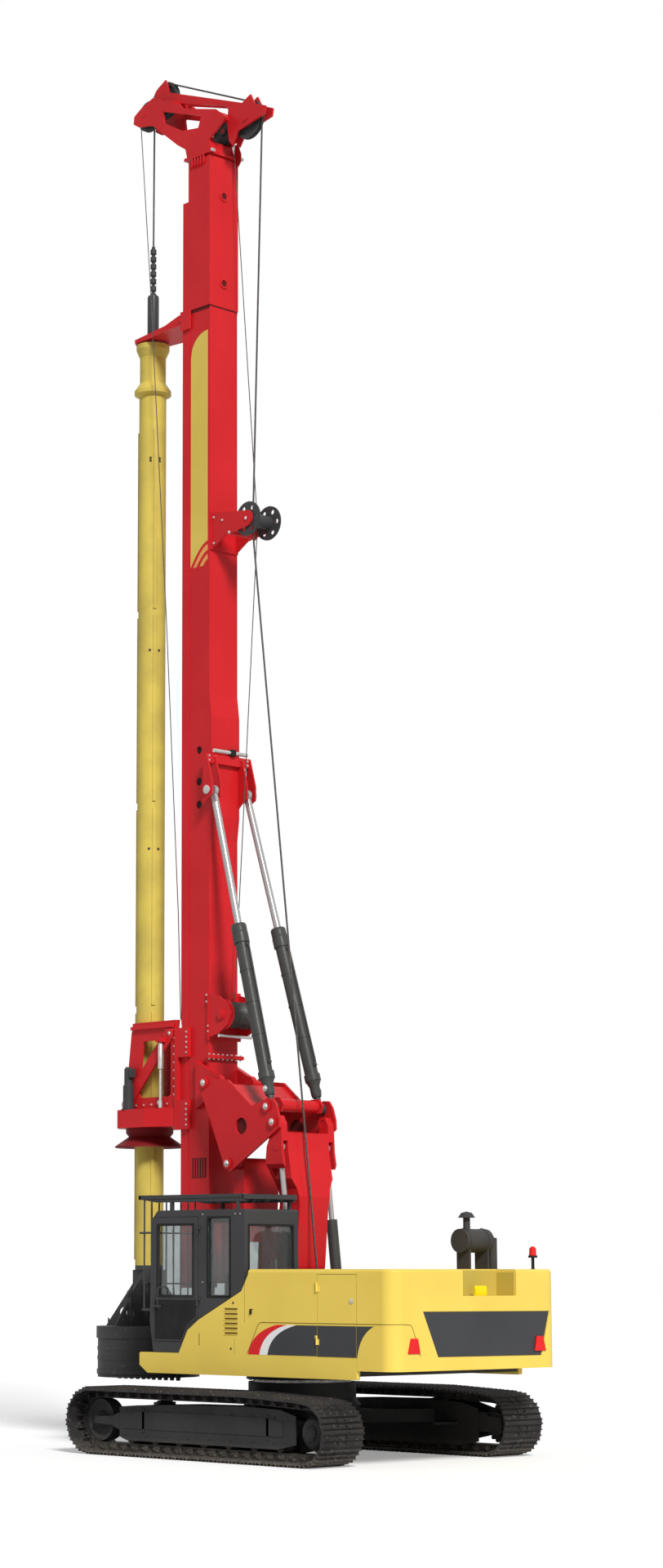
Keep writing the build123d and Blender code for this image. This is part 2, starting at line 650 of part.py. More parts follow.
def cab_guard():
    """Bars over the cab's roof and in front of its windscreen."""
    top = CAB_Z[1] + 150
    front = CAB_X[1] + 190
    guard = block((-420, front), (CAB_Y[0], CAB_Y[0] + 40), (top, top + 40))
    guard += block((-420, front), (CAB_Y[1] - 40, CAB_Y[1]), (top, top + 40))
    for n in range(9):
        x = -420 + n * (front - 40 + 420) / 8
        guard += block((x, x + 40), (CAB_Y[0], CAB_Y[1]), (top, top + 40))
    for x in (-360, 900):
        for y in ((CAB_Y[0] + 5, CAB_Y[0] + 45), (CAB_Y[1] - 45, CAB_Y[1] - 5)):
            guard += block((x, x + 40), y, (CAB_Z[1], top + 5))
    for n in range(8):
        y = CAB_Y[0] + 15 + n * (CAB_Y[1] - CAB_Y[0] - 50) / 7
        guard += post(front - 20, y + 10, 11, (1850, top + 10))
    guard += block((front - 40, front), (CAB_Y[0], CAB_Y[1]), (1830, 1860))
    for y in ((CAB_Y[0], CAB_Y[0] + 30), (CAB_Y[1] - 30, CAB_Y[1])):
        guard += block((CAB_X[1] + 32, front), y, (1830, 1860))
    return guard


# Front linkage

def boom():
    """Upright boom: wide at its top, where it holds the delta frame, and narrow below."""
    side_view = [(70, 1640), (260, 1640), (330, 1800), (250, 2500), (120, 3300), (170, 3780), (150, 3950),
                 (40, 4180), (70, 4300), (20, 4350), (-60, 4350), (-120, 4250), (-140, 3880), (-245, 3300),
                 (-170, 2400), (30, 1700)]
    body = plate(side_view, (-BOOM_HALF, BOOM_HALF), 20)
    for side in (-1, 1):
        cut = Polygon((side * BOOM_WAIST, 1500), (side * 600, 1500), (side * 600, 3720), (side * BOOM_HALF, 3720),
                      (side * 440, 3640), (side * 300, 3400), (side * BOOM_WAIST, 3200), align=None)
        body -= extrude(Pos(-800, 0, 0) * (Plane.YZ * cut), 1600, dir=(1, 0, 0))
    body -= block((-400, 400), (-375, 375), (4130, 4400))
    for side in (-1, 1):
        y = (side * LIFT_Y - 38, side * LIFT_Y + 38)
        body -= block((-200, 95), y, (3450, 4020))
    body -= pin(BOOM_TOP[0], BOOM_TOP[1], 52, (-600, 600))
    body += both(pin(LIFT_EYE[0], LIFT_EYE[1], 48, (BOOM_HALF - 8, BOOM_HALF + 8)))
    body += pin(BOOM_FOOT[0], BOOM_FOOT[1], 120, (-BOOM_WAIST, BOOM_WAIST))
    body += pin(BOOM_FOOT[0], BOOM_FOOT[1], 60, (-345, 345))
    return body


def support_link():
    """Wide link in front of the boom, parallel to it."""
    foot = Vector(LINK_FOOT[0], LINK_FOOT[1])
    top = Vector(LINK_TOP[0], LINK_TOP[1])
    along = (top - foot).normalized()
    out = Vector(along.Y, -along.X)
    edge = [foot + out * 66, foot + along * 400 + out * 105, top - along * 400 + out * 105, top + out * 80,
            top - out * 80, top - along * 400 - out * 105, foot + along * 400 - out * 105, foot - out * 66]
    body = plate([(p.X, p.Y) for p in edge], (-315, 315))
    body += pin(foot.X, foot.Y, 66, (-315, 315))
    body += pin(top.X, top.Y, 80, (-315, 315))
    body += pin(foot.X, foot.Y, 40, (-375, 375))
    body -= pin(top.X, top.Y, 47, (-400, 400))
    low = foot + along * 450
    high = foot + along * 1500
    gap = [low + out * 300, high + out * 300, high - out * 300, low - out * 300]
    body -= plate([(p.X, p.Y) for p in gap], (-190, 190))
    return body


DELTA_OUTLINE = [(1415, 4770), (1405, 4890), (1320, 4935), (1200, 4885), (850, 4852), (390, 4487), (84, 4575),
                 (-10, 4570), (-75, 4480), (-128, 4320), (-135, 4190), (720, 3685), (800, 3640), (900, 3665),
                 (930, 3740), (1200, 4350)]
DELTA_COVER = [(835, 4795), (405, 4455), (423, 4430), (853, 4770)]


def delta_frame():
    """Triangular frame between the boom, the support link and the mast."""
    inner, outer = DELTA_Y
    end = outer + 25
    side = plate(DELTA_OUTLINE, DELTA_Y, 25)
    side -= pin(594, 4230, 110, (inner - 10, outer + 10))
    side += pin(BOOM_TOP[0], BOOM_TOP[1], 50, (382, end))
    side += pin(LINK_TOP[0], LINK_TOP[1], 75, (320, outer))
    side += pin(MAST_PIN[0], MAST_PIN[1], 68, (260, end))
    foot_ear = [(170, 4590), (20, 4590), (-50, 4500), (0, 4400), (190, 4400), (260, 4500)]
    side += plate(foot_ear, (345, 377), 20)
    side += pin(MAST_CYL_FOOT[0], MAST_CYL_FOOT[2], 38, (360, end))
    frame = both(side)
    frame += pin(LINK_TOP[0], LINK_TOP[1], 45, (-end, end))
    frame += plate(DELTA_COVER, (-inner, inner))
    for x, z, radius, half in ((95, 4490, 85, 346), (420, 4130, 60, inner), (1000, 4400, 75, inner)):
        frame += pin(x, z, radius, (-half, half))
    return frame


def mast_cyl_point(share):
    """Point on the left mast cylinder's line, from its foot to its rod eye."""
    return between(MAST_CYL_FOOT, MAST_CYL_EYE, share)


def on_side(side, shape):
    """The shape as it stands on the left, or its mirror image on the right."""
    return shape if side > 0 else mirror(shape, about=Plane.XZ)


def mast_cylinder_barrel(side):
    """Barrel of a mast cylinder on its slim arm, with the eye at its foot."""
    foot = MAST_CYL_FOOT
    body = rod(mast_cyl_point(0.09), mast_cyl_point(0.53), 92)
    body += rod(mast_cyl_point(0.01), mast_cyl_point(0.095), 44)
    body += rod(mast_cyl_point(0.085), mast_cyl_point(0.105), 108)
    body += rod(mast_cyl_point(0.505), mast_cyl_point(0.535), 108)
    body += pin(foot[0], foot[2], 78, (foot[1] - 48, foot[1] + 48))
    body -= rod(mast_cyl_point(0.11), mast_cyl_point(0.6), 60)
    body -= pin(foot[0], foot[2], 40, (foot[1] - 60, foot[1] + 60))
    return on_side(side, body)


def mast_cylinder_rod(side):
    """Chromed rod of a mast cylinder, with its flat shank, eye and the pin that holds the mast."""
    eye = MAST_CYL_EYE
    body = rod(mast_cyl_point(0.495), mast_cyl_point(0.958), 50)
    shank = rod(mast_cyl_point(0.95), mast_cyl_point(0.985), 50)
    body += shank & block((eye[0] - 150, eye[0] + 100), (eye[1] - 26, eye[1] + 28), (eye[2] - 350, eye[2]))
    body += pin(eye[0], eye[2], 75, (eye[1] - 30, eye[1] + 30))
    body += pin(eye[0], eye[2], 40, (MAST_HALF + 8, eye[1] + 30))
    return on_side(side, body)


def lift_point(share):
    """Point on the left lift cylinder's line, from its foot to its rod eye."""
    return between((LIFT_FOOT[0], LIFT_Y, LIFT_FOOT[1]), (LIFT_EYE[0], LIFT_Y, LIFT_EYE[1]), share)


def lift_cylinder_barrels():
    """Barrels of the two lift cylinders beside the boom."""
    body = rod(lift_point(0.055), lift_point(0.62), 70)
    body += rod(lift_point(0.02), lift_point(0.07), 44)
    body += pin(LIFT_FOOT[0], LIFT_FOOT[1], 70, (LIFT_Y - 45, LIFT_Y + 45))
    body -= rod(lift_point(0.07), lift_point(0.7), 46)
    body -= pin(LIFT_FOOT[0], LIFT_FOOT[1], 37, (LIFT_Y - 60, LIFT_Y + 60))
    return both(body)


def lift_cylinder_rods():
    """Chromed rods of the lift cylinders, with their eyes and pins in the boom."""
    body = rod(lift_point(0.11), lift_point(0.98), 36)
    body += pin(LIFT_EYE[0], LIFT_EYE[1], 58, (LIFT_Y - 30, LIFT_Y + 30))
    body += pin(LIFT_EYE[0], LIFT_EYE[1], 35, (LIFT_Y - 35, LIFT_Y + 35))
    return both(body)


# Mast

def mast_lower():
    """Lower mast section: a box with its foot, rear flange and the lugs of the mast pin."""
    x0, x1 = MAST_X
    half = MAST_HALF
    body = block((x0, x1), (-half, half), (MAST_FOOT_Z + 60, STEP_Z))
    widening = [(x0 + 5, 8150), (x0 + 5, 10250), (x0 - 40, 9900), (x0 - 40, 8500)]
    body += plate(widening, (-half, half))
    body -= block((x0 + 25, x1 - 25), (25 - half, half - 25), (MAST_FOOT_Z, 4300))
    body += block((x0 - 60, x0 + 10), (-330, 330), (5180, 5230))
    ear = plate([(MAST_PIN[0], MAST_PIN[1] - 125), (1700, 4500), (1700, 5160), (MAST_PIN[0], MAST_PIN[1] + 125)],
                (half - 5, 340))
    ear += pin(MAST_PIN[0], MAST_PIN[1], 125, (half - 5, 340))
    body += both(ear)
    body -= pin(MAST_PIN[0], MAST_PIN[1], 70, (-400, 400))
    for z in (9440, 9000, 8680):
        body -= pin(1715, z, 55, (half - 30, half + 10))
    return body


def mast_upper():
    """Upper mast section, a little slimmer than the lower one."""
    return block((MAST_X[0] + 20, MAST_X[1] - 5), (25 - MAST_HALF, MAST_HALF - 25), (STEP_Z, MAST_TOP_Z))


def mast_rails():
    """Two guide rails on the front of the mast, from its foot to near its head."""
    rail = block((MAST_X[1], RAIL_X), RAIL_Y, (MAST_FOOT_Z, RAIL_TOP_Z))
    rail += block((MAST_X[1], MAST_X[1] + 40), (150, RAIL_Y[0]), (MAST_FOOT_Z, RAIL_TOP_Z))
    return Compound([rail, mirror(rail, about=Plane.XZ)])


HEAD_SIDE = [(3200, 18975), (3189, 19090), (3043, 19172), (2774, 19263), (2219, 19011), (2109, 18900),
             (1503, 18712), (1430, 18690), (1205, 18501), (1566, 18273), (1520, 18085), (2019, 18085),
             (2063, 18263), (2238, 18383), (2794, 18847), (3086, 18902)]
HEAD_WINDOW = [(2560, 18989), (1728, 18679), (1793, 18514), (2129, 18567), (2526, 18800)]
HEAD_BEAM = [(2923, 19283), (2879, 19434), (2667, 19550), (2633, 19477), (2599, 19336), (1029, 18705),
             (861, 18784), (778, 18622), (550, 18524), (571, 18410), (1114, 18313), (1241, 18138), (1304, 18217),
             (1340, 18480), (1320, 18690), (1380, 18764)]


def mast_head():
    """Head frame: two side plates with a high twin beam between them, and the pins of four sheaves."""
    y = (200, 232)
    side = plate(HEAD_SIDE, y, 8)
    side -= plate(HEAD_WINDOW, (y[0] - 10, y[1] + 10), 15)
    head = both(side + plate(HEAD_BEAM, (55, 85)))
    head += block((MAST_X[0] - 30, MAST_X[1] + 99), (-300, 300), (MAST_TOP_Z, MAST_TOP_Z + 40))
    head += plate([(1525, 18080), (2010, 18080), (2055, 18263), (1565, 18263)], (-205, 205))
    head += plate([(1480, 18700), (1740, 18781), (1745, 18757), (1490, 18676)], (-205, 205))
    head += plate([(2330, 19040), (2440, 19090), (2440, 19150), (2330, 19100)], (-205, 205))
    head += plate([(1310, 18520), (1400, 18520), (1400, 18655), (1310, 18575)], (-205, 205))
    head += pin(2700, 18830, 25, (-205, 205))
    spans = {"head_sheave_front": (-100, 100), "head_sheave_rear": (-100, 100),
             "aux_sheave_front": (88, 240), "aux_sheave_rear": (-240, -88)}
    for name, span in spans.items():
        x, z = SHEAVES[name][:2]
        head += pin(x, z, 36, span)
    return head


def mast_brackets():
    """Brackets on the back of the mast for the guide sheave and the mast cylinders' rod eyes."""
    x, z = SHEAVES["guide_sheave"][:2]
    arm_y = (SPOOL_HALF + 10, SPOOL_HALF + 35)
    arm = [(MAST_X[0], 12250), (MAST_X[0], 12780), (1250, 12740), (x + 20, z + 113), (x - 20, z - 113),
           (1250, 12400)]
    guide = both(plate(arm, arm_y) + pin(x, z, 115, arm_y))
    guide += pin(x, z, 36, (-arm_y[1], arm_y[1]))
    guide += pin(1130, 12430, 28, (-arm_y[1], arm_y[1]))
    guide += block((MAST_X[0] - 25, MAST_X[0]), (-260, 260), (12250, 12780))
    eye = MAST_CYL_EYE
    back = MAST_X[0] - 40
    ear = [(back, 8640), (back, 9360), (1400, 9350), (1290, 8950), (1290, 8760), (1400, 8700)]
    holder = both(plate(ear, (MAST_HALF - 27, MAST_HALF - 3)) + plate(ear, CYL_EAR_Y))
    holder += block((back - 60, back), (-CYL_EAR_Y[1], CYL_EAR_Y[1]), (9220, 9350))
    holder += both(pin(eye[0], eye[2], 60, (CYL_EAR_Y[1] - 2, CYL_EAR_Y[1] + 16)))
    return Compound([guide, holder])


def aux_winch():
    """Auxiliary winch on the back of the mast: cheeks, gearbox and the rope drum."""
    x, z = AUX_WINCH_AXIS
    frame = block((MAST_X[0] - 30, MAST_X[0]), (-300, 300), (z - 330, z + 330))
    cheek = [(MAST_X[0] - 30, z - 300), (MAST_X[0] - 30, z + 300), (x + 60, z + 250), (x - 110, z + 150),
             (x - 185, z), (x - 110, z - 150), (x + 60, z - 250)]
    frame += both(plate(cheek, (262, 292), 20))
    frame += drum(x, z, 165, 205, 263)
    frame += pin(x, z, 130, (-330, -290))
    return frame


def crowd_cylinder():
    """Barrel of the crowd cylinder between the rails, hung from the mast."""
    low, top = CROWD_Z
    body = post(CROWD_X, 0, 60, (low, top)) - post(CROWD_X, 0, 44, (low - 10, top - 60))
    body += block((MAST_X[1], CROWD_X + 50), (-100, 100), (top, top + 120))
    return body


def crowd_rod():
    """Rod of the crowd cylinder, pinned to the drive's carriage."""
    return post(CROWD_X, 0, 36, (5620, 9990))


# Rotary drive

def drive_carriage():
    """Carriage on the rails with the two arms over the gearbox and the ring they hold."""
    back = RAIL_X + 8
    body = block((back, back + 60), (-340, 340), (4240, 5620))
    body += block((CROWD_X - 55, back + 5), (-70, 70), (5480, 5620))
    for z in ((4240, 4640), (5220, 5620)):
        body += both(block((MAST_X[1] - 60, back + 10), (RAIL_Y[1] + 8, RAIL_Y[1] + 58), z))
        body += both(block((MAST_X[1] - 60, MAST_X[1] - 8), (MAST_HALF + 8, RAIL_Y[1] + 20), z))
    arm = plate([(back + 50, 4540), (back + 50, DRIVE_TOP), (3000, DRIVE_TOP), (3050, 5600), (3180, 4540)], (280, 310), 20)
    arm -= plate([(2230, 4700), (2900, 4700), (2800, 5480), (2230, 5480)], (270, 320), 60)
    body += both(arm)
    body += block((2700, 3060), (-281, 281), (5660, DRIVE_TOP))
    body += block((back + 50, 2300), (-281, 281), (5600, DRIVE_TOP))
    body -= post(KELLY_X, 0, DRIVE_BORE, (5000, 6000))
    return body


def rotary_gearbox():
    """Gearbox round the kelly, with the collar above it."""
    low, top = GEARBOX_Z
    back = RAIL_X + 68
    plan = [(back, -330), (back, 330), (2600, 480), (3150, 480), (3330, 280), (3330, -280), (3150, -480),
            (2600, -480)]
    body = deck(plan, (low, top), 60)
    body += turned([(DRIVE_BORE + 4, top - 5), (274, top - 5), (264, top + 130), (DRIVE_BORE + 4, top + 130)],
                   KELLY_X)
    body -= post(KELLY_X, 0, DRIVE_BORE, (low - 10, top + 200))
    return body


def drive_motors():
    """Two hydraulic motors with their planetary gears, one on each side of the kelly."""
    top = GEARBOX_Z[1]
    profile = [(0, top), (76, top), (76, top + 330), (60, top + 350), (60, top + 560), (40, top + 590),
               (0, top + 590)]
    return Compound([turned(profile, KELLY_X, side * 396) for side in (-1, 1)])


def drive_cone():
    """Skirt under the gearbox that throws the soil clear."""
    low = GEARBOX_Z[0]
    return turned([(DRIVE_BORE, low), (330, low), (330, low - 60), (290, low - 110), (480, low - 240),
                   (480, low - 260), (270, low - 200), (DRIVE_BORE, low - 100)], KELLY_X)


# Kelly and drilling bucket

def kelly_guide():
    """Follower plate that runs on the rails and holds the top of the kelly."""
    z = KELLY_TOP_Z + 30
    plan = [(RAIL_X + 8, -300), (RAIL_X + 8, 300), (2300, 300), (2900, 230), (3150, 230), (3240, 120),
            (3240, -120), (3150, -230), (2900, -230), (2300, -300)]
    body = deck(plan, (z, z + 25), 30)
    flange = [(RAIL_X + 8, z + 20), (3150, z + 20), (3150, z + 50), (2500, z + 110), (2200, z + 190),
              (RAIL_X + 8, z + 190)]
    body += both(plate(flange, (205, 230)))
    body += both(block((MAST_X[1] - 40, RAIL_X + 20), (RAIL_Y[1] + 8, RAIL_Y[1] + 33), (z - 90, z + 190)))
    body -= post(KELLY_X, 0, 110, (z - 50, z + 300))
    return body


def kelly_outer():
    """Outer kelly tube with three drive ribs, their lock recesses and the flanged top."""
    r = KELLY_R
    profile = [(r - 40, 2420), (r, 2420), (r, FLANGE_Z - 30), (265, FLANGE_Z), (265, FLANGE_Z + 55),
               (188, FLANGE_Z + 170), (188, KELLY_TOP_Z - 190), (240, KELLY_TOP_Z - 70), (240, KELLY_TOP_Z),
               (r - 40, KELLY_TOP_Z)]
    body = turned(profile, KELLY_X)
    spans = [(2500, 5900), (6000, 8780), (8880, 11560), (11660, 14300)]   # lower and upper end of a rib
    for turn in (30, 150, 270):
        for low, top in spans:
            rib = block((r - 12, RIB_R), (-24, 24), (low, top))
            body += Pos(KELLY_X, 0, 0) * Rot(0, 0, turn) * rib
    return body


def kelly_inner():
    """Inner kelly tube with the rope swivel on top and the square stub below."""
    low_flange = (2360, 2420)
    beads = 7
    step = (SWIVEL_TOP_Z - INNER_TOP_Z) / beads
    profile = [(0, low_flange[0]), (KELLY_R, low_flange[0]), (KELLY_R, low_flange[1]), (62, low_flange[1]),
               (62, KELLY_TOP_Z - 50), (KELLY_R - 40, KELLY_TOP_Z - 50), (KELLY_R - 40, KELLY_TOP_Z), (62, KELLY_TOP_Z),
               (62, INNER_TOP_Z)]
    for n in range(beads):
        low = INNER_TOP_Z + n * step
        profile += [(44, low), (44, low + step * 0.6), (26, low + step * 0.72), (26, low + step)]
    profile.append((0, SWIVEL_TOP_Z))
    body = turned(profile, KELLY_X)
    return body + block((KELLY_X - 100, KELLY_X + 100), (-100, 100), (2080, 2375))


def bucket_shell():
    """Drilling bucket: a thick tube with two wear bands, open below where its gate closes it."""
    low, top = BUCKET_Z
    r = BUCKET_R
    profile = [(r - 20, low), (r + 12, low), (r + 12, low + 65), (r, low + 65), (r, top - 160), (r + 20, top - 160),
               (r + 20, top), (r - 20, top)]
    body = turned(profile, KELLY_X)
    x, z = GATE_PIN
    ear = plate([(x - 60, low), (x - 60, low + 65), (x - 40, low + 65), (x + 32, z), (x - 32, z), (x - 32, low)],
                (66, 100))
    body += both(ear + pin(x, z, 32, (66, 100)))
    body += pin(x, z, 15, (-100, 100))
    return body


def bucket_top():
    """Bucket lid with the gussets that carry the kelly box."""
    top = BUCKET_Z[1]
    lid = turned([(0, top - 30), (BUCKET_R - 20, top - 30), (BUCKET_R - 20, top), (0, top)], KELLY_X)
    box = block((KELLY_X - 160, KELLY_X + 160), (-160, 160), (top, 2360))
    box -= block((KELLY_X - 102, KELLY_X + 102), (-102, 102), (2078, 2400))
    lid += box
    gusset = [(150, top), (620, top), (560, top + 90), (230, 2180), (150, 2250)]
    for turn in range(0, 360, 60):
        fin = plate(gusset, (-15, 15))
        fin -= pin(350, top + 180, 75, (-30, 30))
        lid += Pos(KELLY_X, 0, 0) * Rot(0, 0, turn + 30) * fin
    return lid


def bucket_gate():
    """Hinged bottom of the bucket with its soil door and cutting teeth."""
    low = BUCKET_Z[0] - GAP
    r = BUCKET_R - 2
    plate_low = low - GATE_THICK
    gate = turned([(0, plate_low), (r, plate_low), (r, low), (0, low)], KELLY_X)
    x, z = GATE_PIN
    gate += block((x - 80, x), (-60, 60), (plate_low, low))
    gate += pin(x, z, 28, (-60, 60))
    gate -= pin(x, z, 17, (-70, 70))
    gate -= block((KELLY_X + 60, KELLY_X + 560), (30, 300), (plate_low - 10, low + 10))
    gate -= block((KELLY_X - 560, KELLY_X - 60), (-300, -30), (plate_low - 10, low + 10))
    for side in (-1, 1):
        for n in range(5):
            x = KELLY_X + side * (120 + 125 * n)
            tooth = Plane.XZ * Polygon((x - 28, plate_low + 5), (x + 28, plate_low + 5), (x + 16, TOOTH_TIP_Z),
                                       (x - 16, TOOTH_TIP_Z), align=None)
            middle = -side * 15
            gate += extrude(Pos(0, middle + 22, 0) * tooth, 44, dir=(0, -1, 0))
    gate += turned([(0, TOOTH_TIP_Z), (20, TOOTH_TIP_Z + 8), (70, plate_low + 5), (0, plate_low + 5)], KELLY_X)
    return gate


def build():
    """Every piece of the rig by its node name."""
    nodes = {
        "car_body": car_body(),
        "slew_ring": slew_ring(),
        "track_left": track(1),
        "track_right": track(-1),
        "track_frame_left": track_frame(1),
        "track_frame_right": track_frame(-1),
        "track_rollers": track_rollers(),
        "idlers": idlers(),
        "sprockets": sprockets(),
        "upper_frame": upper_frame(),
        "skirts": skirts(),
        "house_left": house_left(),
        "house_right": house_right(),
        "side_door_left": side_door(1),
        "side_door_right": side_door(-1),
        "hood": hood(),
        "counterweight": counterweight(),
        "tank_box": tank_box(),
        "engine_block": engine_block(),
        "muffler": muffler(),
        "lamps": lamps(),
        "main_winch": main_winch(),
        "cab_shell": cab_shell(),
        "cab_door": cab_door(),
        "cab_door_glass": cab_door_glass(),
        "cab_glass": cab_glass(),
        "cab_seat": cab_seat(),
        "cab_guard": cab_guard(),
        "boom": boom(),
        "support_link": support_link(),
        "delta_frame": delta_frame(),
        "mast_cylinder_barrel_left": mast_cylinder_barrel(1),
        "mast_cylinder_barrel_right": mast_cylinder_barrel(-1),
        "mast_cylinder_rod_left": mast_cylinder_rod(1),
        "mast_cylinder_rod_right": mast_cylinder_rod(-1),
        "lift_cylinder_barrels": lift_cylinder_barrels(),
        "lift_cylinder_rods": lift_cylinder_rods(),
        "mast_lower": mast_lower(),
        "mast_upper": mast_upper(),
        "mast_rails": mast_rails(),
        "mast_head": mast_head(),
        "mast_brackets": mast_brackets(),
        "aux_winch": aux_winch(),
        "crowd_cylinder": crowd_cylinder(),
        "crowd_rod": crowd_rod(),
        "drive_carriage": drive_carriage(),
        "rotary_gearbox": rotary_gearbox(),
        "drive_motors": drive_motors(),
        "drive_cone": drive_cone(),
        "kelly_guide": kelly_guide(),
        "kelly_outer": kelly_outer(),
        "kelly_inner": kelly_inner(),
        "bucket_shell": bucket_shell(),
        "bucket_top": bucket_top(),
        "bucket_gate": bucket_gate(),
    }
    for name in SHEAVES:
        nodes[name] = sheave(name)
    return nodes


def main():
    """Write one file for each node, with the origin under the middle of the rig."""
    os.makedirs("parts", exist_ok=True)
    for name, shape in build().items():
        solids = [Pos(SLEW_X, 0, 0) * solid for solid in shape.solids()]
        piece = solids[0] if len(solids) == 1 else Compound(solids)
        export_step(piece, f"parts/{name}.step")


if __name__ == "__main__":
    main()
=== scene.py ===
# %% [markdown]
# Rotary piling rig: what this file makes
#
# A crawler rig that drills deep round holes: an upright mast, a long kelly bar that slides through a rotary drive,
# and a drilling bucket below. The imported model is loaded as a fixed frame. Each cell gives its solids a finish or
# adds what is too small or too soft for them: bolts, pipes, ropes, seals, stripes and cushions.

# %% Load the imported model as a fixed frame
import bmesh
import bpy
import numpy as np
from math import atan2, cos, hypot, pi, radians, sin
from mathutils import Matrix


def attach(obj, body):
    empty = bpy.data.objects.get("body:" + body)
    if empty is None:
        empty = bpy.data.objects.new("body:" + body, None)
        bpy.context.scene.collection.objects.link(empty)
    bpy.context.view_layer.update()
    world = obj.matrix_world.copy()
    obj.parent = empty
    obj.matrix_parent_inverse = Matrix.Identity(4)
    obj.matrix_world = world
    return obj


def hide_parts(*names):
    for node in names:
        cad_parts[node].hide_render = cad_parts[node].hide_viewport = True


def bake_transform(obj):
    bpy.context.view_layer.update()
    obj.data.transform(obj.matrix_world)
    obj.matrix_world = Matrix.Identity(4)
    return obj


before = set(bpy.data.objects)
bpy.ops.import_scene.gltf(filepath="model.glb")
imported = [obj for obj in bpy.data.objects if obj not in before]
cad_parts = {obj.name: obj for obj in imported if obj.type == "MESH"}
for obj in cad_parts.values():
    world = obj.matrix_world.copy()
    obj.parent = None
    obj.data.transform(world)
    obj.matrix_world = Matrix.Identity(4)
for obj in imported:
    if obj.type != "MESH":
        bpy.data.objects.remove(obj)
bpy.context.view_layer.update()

# %% [markdown]
# The camera
#
# Every place in this file is measured from the slewing axis in metres, X forward, Y to the left and Z up, and moved
# along X to the model's origin under the middle of the rig. The camera stands low behind the rig's left corner and
# looks up, with its picture shifted sideways.

# %% Camera at the photograph's viewing angle
SLEW_AXIS = np.array([-0.345, 0.0, 0.0])
EYE = np.array([-27.973, 27.397, 2.332])
HEADING = -42.99        # degrees from X towards Y
PITCH = 9.368           # degrees above the horizon
FOCAL_PX = 3620.7       # focal length on a picture that is PICTURE_H pixels high
PICTURE_W, PICTURE_H = 812, 1920
AXIS_PX = 279.0         # column where the camera's axis meets the picture
SENSOR = 36.0
FAR_END = 400.0


def stand(name, data):
    """Puts a camera, a light or a mesh into the scene."""
    thing = bpy.data.objects.new(name, data)
    bpy.context.scene.collection.objects.link(thing)
    return thing


camera_data = bpy.data.cameras.new("camera")
camera_data.sensor_fit = "AUTO"
camera_data.sensor_width = SENSOR
camera_data.lens = FOCAL_PX / PICTURE_H * SENSOR
camera_data.shift_x = (PICTURE_W / 2 - AXIS_PX) / PICTURE_H
camera_data.clip_end = FAR_END
camera = stand("camera", camera_data)
camera.location = EYE + SLEW_AXIS
camera.rotation_euler = (radians(90 + PITCH), 0, radians(HEADING - 90))
bpy.context.scene.camera = camera
print("lens", round(camera_data.lens, 2), "shift", round(camera_data.shift_x, 4))

# %% [markdown]
# Light and floor
#
# One broad sun from behind the rig makes its rear faces brighter than its left side, and an even white world fills
# the shade. The white floor is a matt sheet that glows a little for the camera alone, so it reads as white while it
# still takes the soft shadow under the tracks.

# %% Sun, world and floor
SUN_FROM = np.array([-0.74, 0.36, 0.62])   # direction towards the sun
SUN_POWER = 3.4
SUN_SPREAD = 14         # degrees across the sun's disc
FILL = 0.24
FLOOR_HALF = 150.0
FLOOR_GLOW = 0.3


def feed(tree, target, inputs):
    """Gives a node its inputs, by number or by name: each is a value or another node's output."""
    for key, value in inputs.items():
        if isinstance(value, bpy.types.NodeSocket):
            tree.links.new(value, target.inputs[key])
        else:
            target.inputs[key].default_value = value
    return target


def node(tree, kind, inputs, output=0, **settings):
    """A new node with its settings and inputs; what comes back is one of its outputs."""
    made = tree.nodes.new("ShaderNode" + kind)
    for setting, value in settings.items():
        setattr(made, setting, value)
    return feed(tree, made, inputs).outputs[output]


def new_material(name):
    """A new material and its tree of nodes."""
    material = bpy.data.materials.new(name)
    material.use_nodes = True
    return material, material.node_tree


sun_data = bpy.data.lights.new("sun", "SUN")
sun_data.energy = SUN_POWER
sun_data.angle = radians(SUN_SPREAD)
sun = stand("sun", sun_data)
sun.rotation_euler = (atan2(hypot(SUN_FROM[0], SUN_FROM[1]), SUN_FROM[2]), 0, atan2(SUN_FROM[1], SUN_FROM[0]) + pi / 2)
bpy.context.scene.view_settings.view_transform = "Standard"

world = bpy.data.worlds.new("studio")
bpy.context.scene.world = world
world.use_nodes = True
sky = world.node_tree
sky.nodes.clear()
rays = sky.nodes.new("ShaderNodeLightPath").outputs
mirrored = node(sky, "Math", {0: rays["Is Glossy Ray"], 1: rays["Is Transmission Ray"]}, operation="MAXIMUM")
direct = node(sky, "Math", {0: rays["Is Camera Ray"], 1: mirrored}, operation="MAXIMUM")
fill_light = node(sky, "Background", {"Color": (0.95, 0.97, 1.0, 1), "Strength": FILL})
backdrop = node(sky, "Background", {"Color": (1, 1, 1, 1), "Strength": 1.0})
either = node(sky, "MixShader", {0: direct, 1: fill_light, 2: backdrop})
feed(sky, sky.nodes.new("ShaderNodeOutputWorld"), {"Surface": either})

